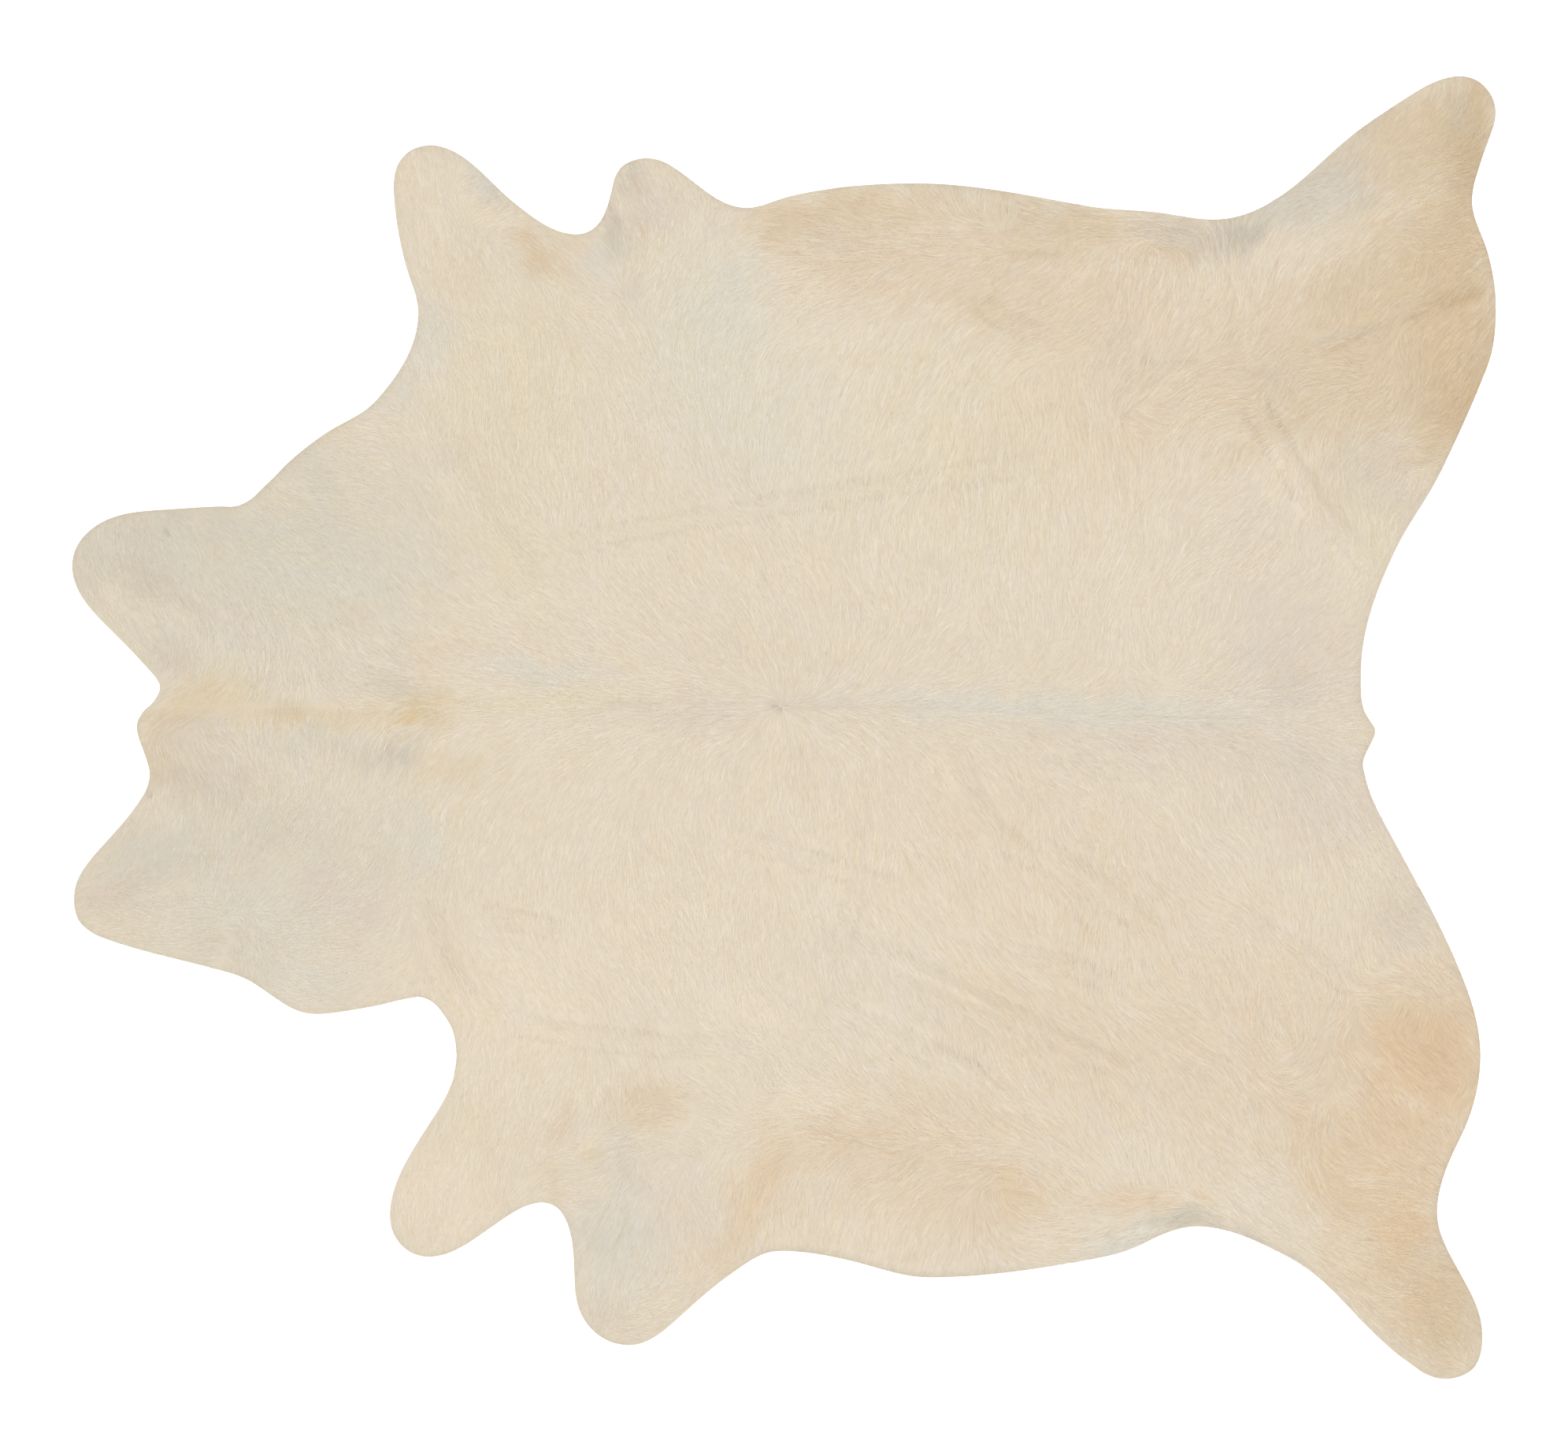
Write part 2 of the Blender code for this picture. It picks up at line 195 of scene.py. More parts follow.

# The lie of the hair, region by region, read off the photograph. Each reading is
# across, down and lean.
COMB_READINGS = (
    # Right side of the neck
    (137, 694, 95), (195, 790, 118), (348, 694, 140), (405, 656, 165), (463, 617, 160),
    (558, 617, 115), (616, 598, 100), (501, 694, 130), (577, 713, 130), (463, 770, 130),
    (539, 828, 140), (616, 809, 150), (386, 790, 120), (310, 790, 115), (310, 847, 95),
    (383, 870, 90), (348, 866, 75), (290, 880, 45), (230, 895, 35), (424, 874, 130),
    (463, 885, 160), (539, 878, 170), (240, 720, 120), (250, 680, 140), (120, 740, 110),
    (180, 680, 110), (280, 740, 125), (250, 840, 80),
    # Left side of the neck
    (271, 943, 130), (310, 981, 110), (367, 962, 105), (424, 943, 90), (482, 943, 80),
    (539, 943, 65), (597, 962, 50), (654, 924, 35), (616, 893, 10), (348, 1038, 60),
    (386, 1077, 45), (310, 1077, 70), (463, 1057, 60), (463, 1115, 45), (424, 1115, 40),
    (539, 1096, 75), (616, 1096, 75), (271, 1115, 85), (310, 1115, 60), (348, 1115, 45),
    (386, 1134, 35), (424, 1134, 32), (463, 1153, 25), (386, 1165, 20), (424, 1172, 12),
    (348, 1184, 170), (329, 1191, 120), (317, 1210, 100), (317, 1226, 90), (348, 1230, 150),
    (386, 1214, 0), (424, 1210, 0), (463, 1184, 15), (501, 1153, 60), (482, 1230, 25),
    (444, 1249, 20), (405, 1268, 170), (501, 1230, 45), (252, 1153, 170), (233, 1172, 15),
    (252, 1203, 10), (195, 1153, 160), (157, 1165, 170), (271, 1191, 0), (214, 1115, 40),
    (271, 1057, 85), (424, 1038, 70), (501, 1077, 70), (120, 1120, 45), (170, 1070, 60),
    (220, 1020, 75), (240, 970, 115), (577, 1057, 75), (654, 1038, 60), (654, 1096, 75),
    (577, 1115, 80),
    # Right shoulder and foreleg
    (537, 237, 105), (556, 294, 100), (575, 351, 110), (613, 370, 115), (651, 390, 115),
    (690, 332, 130), (728, 359, 140), (709, 390, 105), (728, 409, 135), (766, 390, 150),
    (789, 409, 120), (824, 256, 115), (862, 256, 105), (824, 370, 60), (843, 351, 65),
    (881, 294, 80), (900, 313, 75), (938, 294, 45), (957, 313, 10), (996, 294, 170),
    (1034, 325, 10), (996, 351, 15), (957, 370, 35), (1015, 390, 30), (957, 428, 60),
    (919, 428, 55), (1015, 428, 35), (996, 466, 60), (919, 485, 85), (957, 504, 80),
    (862, 485, 105), (843, 504, 105), (804, 485, 115), (747, 447, 120), (690, 466, 95),
    (651, 485, 95), (594, 466, 105), (575, 543, 85), (651, 543, 90), (690, 524, 75),
    (728, 581, 100), (498, 581, 145), (537, 581, 115), (479, 619, 160), (479, 562, 175),
    (537, 638, 120), (575, 696, 120), (651, 658, 110), (651, 734, 135), (728, 658, 90),
    (728, 715, 130), (785, 715, 100), (804, 581, 100), (862, 543, 115), (900, 600, 115),
    (919, 658, 125), (957, 658, 130), (996, 638, 80), (881, 715, 115), (996, 734, 115),
    (1034, 658, 85), (996, 581, 85), (1034, 543, 80), (1034, 485, 70), (520, 215, 110),
    (620, 240, 20), (650, 275, 30), (690, 285, 150),
    # Right belly
    (1020, 305, 0), (1100, 310, 177), (1180, 300, 0), (1240, 298, 172), (1190, 250, 125),
    (1225, 245, 95), (1267, 262, 90), (1085, 262, 160), (1400, 310, 0), (1430, 262, 170),
    (1500, 300, 170), (1120, 370, 35), (1150, 385, 45), (1050, 370, 25), (1000, 360, 10),
    (1005, 430, 45), (1060, 470, 65), (1135, 490, 75), (1170, 450, 60), (1210, 545, 80),
    (1150, 545, 60), (1267, 468, 50), (1286, 449, 30), (1325, 430, 20), (1363, 505, 90),
    (1305, 525, 110), (1340, 540, 75), (1363, 545, 105), (1390, 537, 100), (1440, 505, 40),
    (1458, 533, 150), (1490, 545, 45), (1515, 525, 25), (1555, 545, 15), (1555, 475, 3),
    (1480, 487, 45), (1515, 430, 60), (1555, 410, 75), (1573, 391, 85), (1400, 330, 70),
    (1420, 375, 80), (1480, 370, 80), (1300, 360, 30), (1340, 345, 38), (1230, 360, 35),
    (1370, 380, 40), (1385, 420, 30), (1400, 450, 60), (1363, 600, 90), (1250, 600, 85),
    (1171, 613, 70), (1095, 583, 70), (1000, 680, 120), (1056, 717, 115), (1133, 766, 120),
    (1171, 736, 100), (1210, 660, 95), (1106, 660, 80), (1145, 628, 60), (1248, 697, 85),
    (1286, 660, 85), (1324, 697, 90), (1363, 660, 100), (1400, 620, 95), (1420, 583, 100),
    (1477, 620, 50), (1515, 602, 60), (1535, 660, 30), (1554, 583, 70), (1573, 640, 45),
    (1477, 697, 80), (1515, 717, 30), (1439, 736, 60), (1400, 736, 65), (1100, 450, 60),
    (1320, 270, 165),
    # Right thigh and hind leg
    (1829, 113, 78), (1849, 121, 80), (1808, 133, 55), (1849, 162, 45), (1788, 142, 45),
    (1747, 166, 50), (1739, 215, 60), (1686, 252, 28), (1727, 256, 55), (1767, 264, 35),
    (1808, 195, 20), (1829, 256, 25), (1849, 264, 30), (1861, 235, 5), (1665, 264, 15),
    (1869, 293, 160), (1829, 313, 10), (1788, 305, 160), (1767, 325, 50), (1686, 305, 40),
    (1645, 305, 40), (1604, 325, 65), (1653, 346, 65), (1584, 346, 80), (1604, 407, 60),
    (1645, 387, 60), (1686, 378, 70), (1706, 378, 85), (1747, 387, 45), (1788, 387, 20),
    (1808, 346, 70), (1829, 366, 45), (1882, 378, 65), (1869, 346, 40), (1869, 407, 35),
    (1829, 415, 45), (1882, 427, 60), (1849, 448, 50), (1849, 509, 60), (1788, 460, 100),
    (1747, 468, 50), (1706, 468, 170), (1665, 468, 10), (1686, 509, 20), (1767, 530, 60),
    (1829, 550, 15), (1788, 587, 175), (1747, 542, 25), (1706, 542, 75), (1747, 611, 40),
    (1767, 599, 70), (1800, 623, 70), (1788, 644, 50), (1543, 346, 100), (1522, 325, 110),
    (1461, 378, 80), (1502, 378, 80), (1543, 387, 60), (1522, 419, 45), (1461, 448, 70),
    (1522, 501, 25), (1563, 501, 10), (1604, 550, 25), (1604, 611, 65), (1563, 611, 45),
    (1502, 603, 80), (1522, 664, 30), (1735, 652, 105), (1690, 640, 100), (1590, 480, 40),
    (1616, 500, 60), (1650, 600, 80),
    # Right side of the back
    (598, 732, 140), (675, 694, 135), (637, 770, 145), (598, 828, 155), (713, 770, 145),
    (790, 732, 130), (713, 847, 145), (790, 809, 145), (828, 828, 140), (866, 770, 130),
    (904, 809, 125), (943, 828, 120), (981, 828, 115), (1019, 828, 100), (1057, 828, 85),
    (1096, 847, 67), (1134, 866, 47), (962, 770, 125), (1019, 770, 120), (1077, 790, 88),
    (1134, 809, 70), (904, 866, 145), (828, 858, 165), (751, 866, 170), (790, 893, 175),
    (943, 897, 0), (1057, 897, 0), (1118, 774, 120), (1157, 774, 75), (1214, 805, 40),
    (1233, 850, 70), (1348, 755, 95), (1405, 736, 65), (1424, 766, 70), (1463, 755, 60),
    (1501, 736, 40), (1578, 709, 35), (1597, 697, 60), (1578, 678, 45), (1501, 678, 80),
    (1654, 697, 85), (1616, 736, 50), (1654, 755, 45), (1673, 793, 45), (1558, 774, 80),
    (1501, 774, 85), (1444, 774, 95), (1310, 678, 100), (1233, 678, 85), (1157, 678, 90),
    (1111, 671, 80), (1424, 659, 90), (1157, 866, 30), (1137, 850, 60), (1099, 858, 70),
    (1195, 870, 10), (1183, 831, 50), (1256, 877, 25), (1309, 846, 70), (1317, 870, 20),
    (1348, 843, 45), (1378, 869, 40), (1367, 831, 80), (1424, 862, 70), (1463, 870, 130),
    (1482, 854, 50), (1501, 870, 25), (1539, 885, 5), (1539, 862, 35), (1577, 854, 40),
    (1616, 854, 55), (1616, 881, 10), (1654, 862, 30), (1654, 831, 45), (1577, 812, 50),
    (1539, 824, 55), (1501, 824, 80), (1463, 812, 105), (1424, 812, 85), (1386, 801, 85),
    (1290, 812, 105), (1252, 793, 110), (1700, 820, 50), (1700, 870, 20), (1150, 905, 0),
    (1300, 908, 0), (1450, 912, 0), (1600, 916, 0), (1700, 922, 0), (870, 897, 178),
    (700, 890, 175), (1710, 760, 65),
    # Left side of the back
    (1038, 924, 130), (1077, 924, 140), (1115, 943, 120), (1019, 943, 100), (981, 943, 75),
    (943, 943, 52), (904, 924, 25), (866, 943, 50), (809, 924, 25), (790, 943, 40), (732, 924, 20),
    (675, 943, 40), (598, 924, 30), (598, 981, 45), (675, 1000, 50), (751, 1000, 55),
    (828, 981, 60), (885, 981, 75), (943, 1000, 80), (1019, 1000, 95), (1096, 1000, 98),
    (1134, 981, 112), (637, 1077, 65), (751, 1077, 70), (828, 1077, 100), (885, 1077, 110),
    (943, 1077, 70), (981, 1077, 120), (1057, 1077, 75), (1096, 1038, 105), (675, 1115, 80),
    (828, 1115, 105), (1099, 931, 130), (1149, 977, 120), (1111, 984, 90), (1157, 946, 150),
    (1176, 984, 120), (1233, 969, 120), (1279, 939, 150), (1294, 965, 120), (1310, 984, 130),
    (1348, 942, 145), (1348, 996, 150), (1405, 1004, 115), (1424, 946, 140), (1463, 939, 155),
    (1482, 965, 130), (1520, 965, 110), (1501, 1004, 110), (1577, 931, 160), (1597, 965, 125),
    (1654, 954, 150), (1654, 984, 125), (1616, 1004, 105), (1577, 1004, 100), (1539, 1023, 105),
    (1501, 1053, 120), (1558, 1065, 150), (1577, 1080, 110), (1463, 1042, 140), (1424, 1042, 80),
    (1386, 1042, 120), (1329, 1023, 95), (1310, 1053, 75), (1405, 1080, 85), (1444, 1080, 110),
    (1233, 1023, 135), (1195, 1042, 120), (1156, 1023, 120), (1118, 1023, 110), (1099, 1061, 80),
    (1137, 1099, 75), (1157, 1080, 125), (1195, 1099, 115), (1214, 1118, 95), (1176, 1137, 125),
    (1156, 1164, 120), (1118, 1168, 105), (1233, 1157, 115), (1310, 1118, 100), (1340, 1099, 130),
    (1386, 1111, 130), (1463, 1157, 115), (1501, 1137, 125), (1539, 1157, 145), (1577, 1168, 130),
    (1616, 1206, 105), (1654, 1176, 85), (1654, 1118, 95), (1616, 1099, 105), (1673, 1080, 105),
    (1700, 960, 155), (1710, 1000, 130), (1700, 1050, 120), (1750, 1150, 105), (930, 1130, 90),
    (1000, 1200, 90), (720, 1140, 85), (780, 1150, 95),
    # Left shoulder and foreleg
    (654, 1153, 100), (616, 1191, 128), (577, 1191, 120), (528, 1153, 120), (654, 1230, 130),
    (616, 1268, 120), (654, 1268, 120), (558, 1253, 110), (597, 1325, 75), (635, 1325, 95),
    (593, 1364, 80), (616, 1383, 92), (577, 1421, 75), (558, 1459, 75), (539, 1498, 80),
    (616, 1459, 80), (520, 1536, 95), (539, 1555, 85), (577, 1555, 85), (616, 1543, 45),
    (635, 1517, 110), (673, 1440, 75), (729, 1188, 95), (710, 1227, 120), (671, 1227, 120),
    (690, 1261, 115), (729, 1238, 140), (767, 1227, 130), (786, 1246, 120), (805, 1265, 115),
    (805, 1207, 120), (844, 1188, 105), (863, 1227, 100), (901, 1238, 120), (920, 1246, 95),
    (939, 1188, 95), (978, 1265, 120), (1016, 1265, 105), (633, 1334, 80), (671, 1322, 75),
    (717, 1311, 135), (725, 1326, 60), (763, 1326, 120), (813, 1334, 105), (805, 1360, 100),
    (844, 1341, 120), (863, 1334, 140), (901, 1341, 155), (947, 1338, 150), (939, 1360, 120),
    (958, 1364, 95), (710, 1360, 65), (748, 1353, 80), (779, 1372, 95), (779, 1399, 100),
    (717, 1426, 60), (671, 1380, 80), (863, 1410, 170), (824, 1426, 20), (844, 1441, 170),
    (748, 1475, 30), (786, 1441, 20), (882, 1456, 140), (901, 1399, 140), (664, 1514, 50),
    (595, 1552, 55), (729, 1475, 10), (729, 1514, 170), (748, 1514, 0), (779, 1525, 60),
    (748, 1571, 55), (794, 1552, 65), (809, 1510, 45), (824, 1494, 120), (844, 1487, 45),
    (844, 1533, 85), (824, 1571, 75), (805, 1609, 70), (771, 1609, 75), (863, 1571, 100),
    (844, 1609, 80), (748, 1667, 80), (786, 1648, 85), (824, 1648, 20), (863, 1640, 10),
    (844, 1667, 20), (805, 1686, 0), (882, 1648, 45), (882, 1533, 130), (893, 1563, 120),
    (928, 1552, 85), (912, 1609, 50),
    # Left belly
    (1023, 1173, 102), (1077, 1188, 120), (1115, 1165, 130), (1161, 1165, 125), (1210, 1173, 130),
    (1268, 1188, 135), (1325, 1223, 145), (1295, 1177, 120), (1364, 1184, 80), (1394, 1215, 80),
    (1421, 1169, 85), (1452, 1169, 120), (1486, 1181, 105), (1536, 1169, 160), (1574, 1207, 120),
    (1536, 1227, 105), (1586, 1272, 90), (1023, 1265, 105), (1057, 1292, 145), (1019, 1322, 110),
    (1077, 1334, 120), (1115, 1364, 135), (1038, 1380, 160), (1077, 1391, 165), (1115, 1399, 155),
    (1153, 1418, 150), (1165, 1380, 135), (1115, 1284, 120), (1096, 1246, 115), (1172, 1341, 120),
    (1210, 1322, 105), (1230, 1326, 90), (1249, 1334, 110), (1268, 1303, 120), (1249, 1284, 150),
    (1306, 1322, 120), (1364, 1322, 150), (1383, 1360, 110), (1421, 1357, 140), (1421, 1387, 105),
    (1344, 1380, 110), (1306, 1380, 120), (1268, 1380, 135), (1230, 1380, 120), (1210, 1364, 145),
    (1268, 1410, 145), (1325, 1418, 140), (1344, 1441, 135), (1371, 1468, 140), (1383, 1418, 110),
    (1440, 1418, 115), (1459, 1456, 105), (1486, 1479, 105), (1498, 1437, 120), (1536, 1399, 130),
    (1555, 1456, 125), (1574, 1494, 130), (1478, 1387, 120), (1459, 1360, 130), (1517, 1341, 150),
    (1517, 1303, 150), (1471, 1292, 150), (1555, 1322, 135), (1555, 1284, 120), (1115, 1456, 175),
    (1057, 1437, 168), (1038, 1471, 35), (1023, 1494, 60), (1096, 1491, 15), (1126, 1506, 30),
    (1153, 1487, 40), (1191, 1475, 20), (1210, 1456, 160), (1230, 1475, 10), (1268, 1479, 175),
    (1287, 1487, 165), (1306, 1494, 140), (1325, 1514, 135), (1268, 1498, 60), (1260, 1517, 120),
    (1249, 1494, 35), (1191, 1514, 30), (1153, 1533, 50), (1210, 1540, 60), (1191, 1552, 65),
    (1230, 1563, 75), (1153, 1571, 70), (1115, 1552, 80), (1057, 1533, 85), (1019, 1514, 90),
    (1249, 1563, 110), (1268, 1552, 130), (1287, 1552, 150), (1306, 1563, 175), (1344, 1563, 0),
    (1325, 1540, 0), (1364, 1533, 5), (1421, 1525, 170), (1440, 1533, 15), (1459, 1533, 30),
    (1402, 1571, 20), (1478, 1521, 5), (1528, 1529, 165), (1498, 1552, 15), (1429, 1487, 105),
    (1482, 1494, 100), (1517, 1494, 120), (1383, 1494, 120), (978, 1399, 175), (1035, 1403, 165),
    (1065, 1414, 150), (1035, 1445, 170), (997, 1437, 10), (978, 1456, 30), (958, 1449, 35),
    (1016, 1494, 60), (1035, 1514, 80), (1054, 1475, 50), (1073, 1494, 70), (997, 1552, 90),
    (978, 1514, 75), (939, 1514, 80), (920, 1494, 75), (901, 1475, 60), (1016, 1357, 140),
    (1054, 1341, 135), (1073, 1380, 145), (939, 1418, 160),
    # Left thigh and hind leg
    (1600, 1183, 145), (1629, 1196, 150), (1651, 1213, 120), (1579, 1204, 100), (1714, 1171, 85),
    (1735, 1204, 100), (1768, 1162, 130), (1789, 1175, 155), (1819, 1204, 120), (1752, 1246, 175),
    (1798, 1259, 150), (1840, 1246, 140), (1806, 1297, 70), (1777, 1288, 60), (1861, 1309, 140),
    (1869, 1339, 125), (1844, 1360, 150), (1861, 1389, 60), (1503, 1373, 120), (1545, 1373, 120),
    (1524, 1415, 125), (1587, 1415, 105), (1608, 1373, 135), (1629, 1352, 20), (1672, 1347, 55),
    (1701, 1339, 120), (1672, 1373, 40), (1651, 1394, 160), (1676, 1406, 80), (1709, 1398, 135),
    (1735, 1415, 125), (1752, 1448, 130), (1743, 1314, 150), (1760, 1326, 120), (1798, 1331, 145),
    (1777, 1356, 140), (1768, 1373, 120), (1798, 1432, 120), (1819, 1406, 130), (1777, 1457, 140),
    (1587, 1478, 135), (1621, 1499, 150), (1651, 1457, 85), (1667, 1478, 105), (1659, 1520, 120),
    (1680, 1533, 120), (1693, 1478, 145), (1714, 1486, 160), (1735, 1499, 20), (1735, 1520, 170),
    (1756, 1478, 150), (1777, 1499, 170), (1798, 1486, 140), (1777, 1541, 165), (1806, 1520, 160),
    (1701, 1537, 150), (1566, 1520, 135), (1587, 1541, 130), (1608, 1558, 150), (1659, 1600, 145),
    (1693, 1562, 165), (1735, 1575, 165), (1777, 1583, 175), (1844, 1608, 175), (1777, 1617, 160),
    (1735, 1625, 150), (1777, 1655, 0), (1819, 1655, 165), (1840, 1667, 160), (1798, 1688, 150),
    (1857, 1709, 120), (1836, 1743, 170), (1806, 1718, 150), (1785, 1709, 130), (1756, 1701, 135),
    (1709, 1646, 135), (1861, 1680, 140), (1700, 1300, 60), (1640, 1280, 105), (1600, 1340, 120),
)

# Hair leaves the spine at a small angle on either side, towards the tail behind the back
# whorl and towards the head before it
SPINE_READINGS = (
    *((across, down, lean)
      for across in range(1040, 1720, 50)
      for down, lean in ((888 + (across - 1040) // 28, 14), (911 + (across - 1040) // 32, 164))),
    *((across, down, lean)
      for across in range(560, 960, 50)
      for down, lean in ((889, 168), (906, 12))),
    (1030, 874, 55), (1042, 858, 68), (1058, 872, 42), (1078, 876, 30), (1075, 858, 55),
    (1035, 915, 140), (1060, 916, 150), (1020, 860, 82), (470, 922, 40), (520, 922, 30),
    (420, 922, 65), (1440, 860, 115), (1470, 880, 150), (1452, 874, 128), (1495, 884, 10),
    (1410, 880, 35),
)
COMB = tuple(Comb(*reading) for reading in COMB_READINGS + SPINE_READINGS)

WHORLS = (
    Whorl("back", 993, 897, 26, 12, 1.0, 0.9),
    Whorl("right belly", 1267, 294, 26, 8, 1.3, 0.8),
    Whorl("right belly curl", 1313, 296, 34, 90, 2.1, 0.95),
    Whorl("left belly", 1283, 1510, 24, 50, 1.6, 0.8),
    Whorl("left armpit curl", 679, 1483, 15, 90, 1.2, 0.95),
    Whorl("left cheek", 286, 1166, 18, 15, 1.0, 0.6),
    Whorl("tail head", 1537, 921, 10, 20, 1.6, 0.5),
)
SPINE_WHORL = WHORLS[0]

GROWTHS = tuple(Growth(*row) for row in (
    (140, 720, 17, 1.3, 0.75), (140, 1120, 17, 1.3, 0.7), (280, 760, 20, 1.4, 0.75),
    (300, 1060, 20, 1.4, 0.8), (300, 900, 28, 1.4, 1.2), (480, 900, 28, 1.4, 1.15),
    (450, 650, 20, 1.4, 0.75), (450, 1180, 20, 1.4, 0.7), (540, 250, 17, 1.3, 1.05),
    (540, 1530, 17, 1.3, 0.85), (820, 250, 18, 1.4, 1), (790, 1640, 18, 1.4, 0.9),
    (620, 480, 25, 1.5, 0.8), (620, 1330, 25, 1.5, 0.9), (720, 700, 28, 1.5, 0.95),
    (720, 1130, 28, 1.5, 0.9), (900, 500, 30, 1.5, 1), (900, 1350, 30, 1.5, 0.9),
    (990, 900, 24, 1.3, 1.4), (1300, 900, 24, 1.4, 1.1), (1600, 915, 22, 1.4, 1.15),
    (1150, 320, 32, 1.6, 1.3), (1300, 500, 36, 1.6, 1.4), (1500, 560, 36, 1.7, 1.35),
    (1150, 1500, 32, 1.6, 1.25), (1350, 1450, 34, 1.6, 1.2), (1300, 1200, 34, 1.6, 1.1),
    (1500, 1200, 34, 1.6, 1.1), (1100, 650, 34, 1.6, 1.1), (1400, 700, 34, 1.6, 1.05),
    (1700, 450, 26, 1.5, 1.4), (1820, 380, 22, 1.5, 1.6), (1840, 150, 18, 1.4, 1.4),
    (1700, 1400, 28, 1.6, 1.4), (1820, 1350, 23, 1.5, 1.45), (1830, 1680, 18, 1.4, 1.45),
    (1700, 800, 26, 1.5, 0.9), (1720, 1050, 28, 1.5, 1.05), (1400, 270, 22, 1.5, 1.4),
    (1300, 340, 28, 1.5, 1.5), (1600, 1580, 26, 1.5, 1.4), (1500, 330, 28, 1.5, 1.4),
))

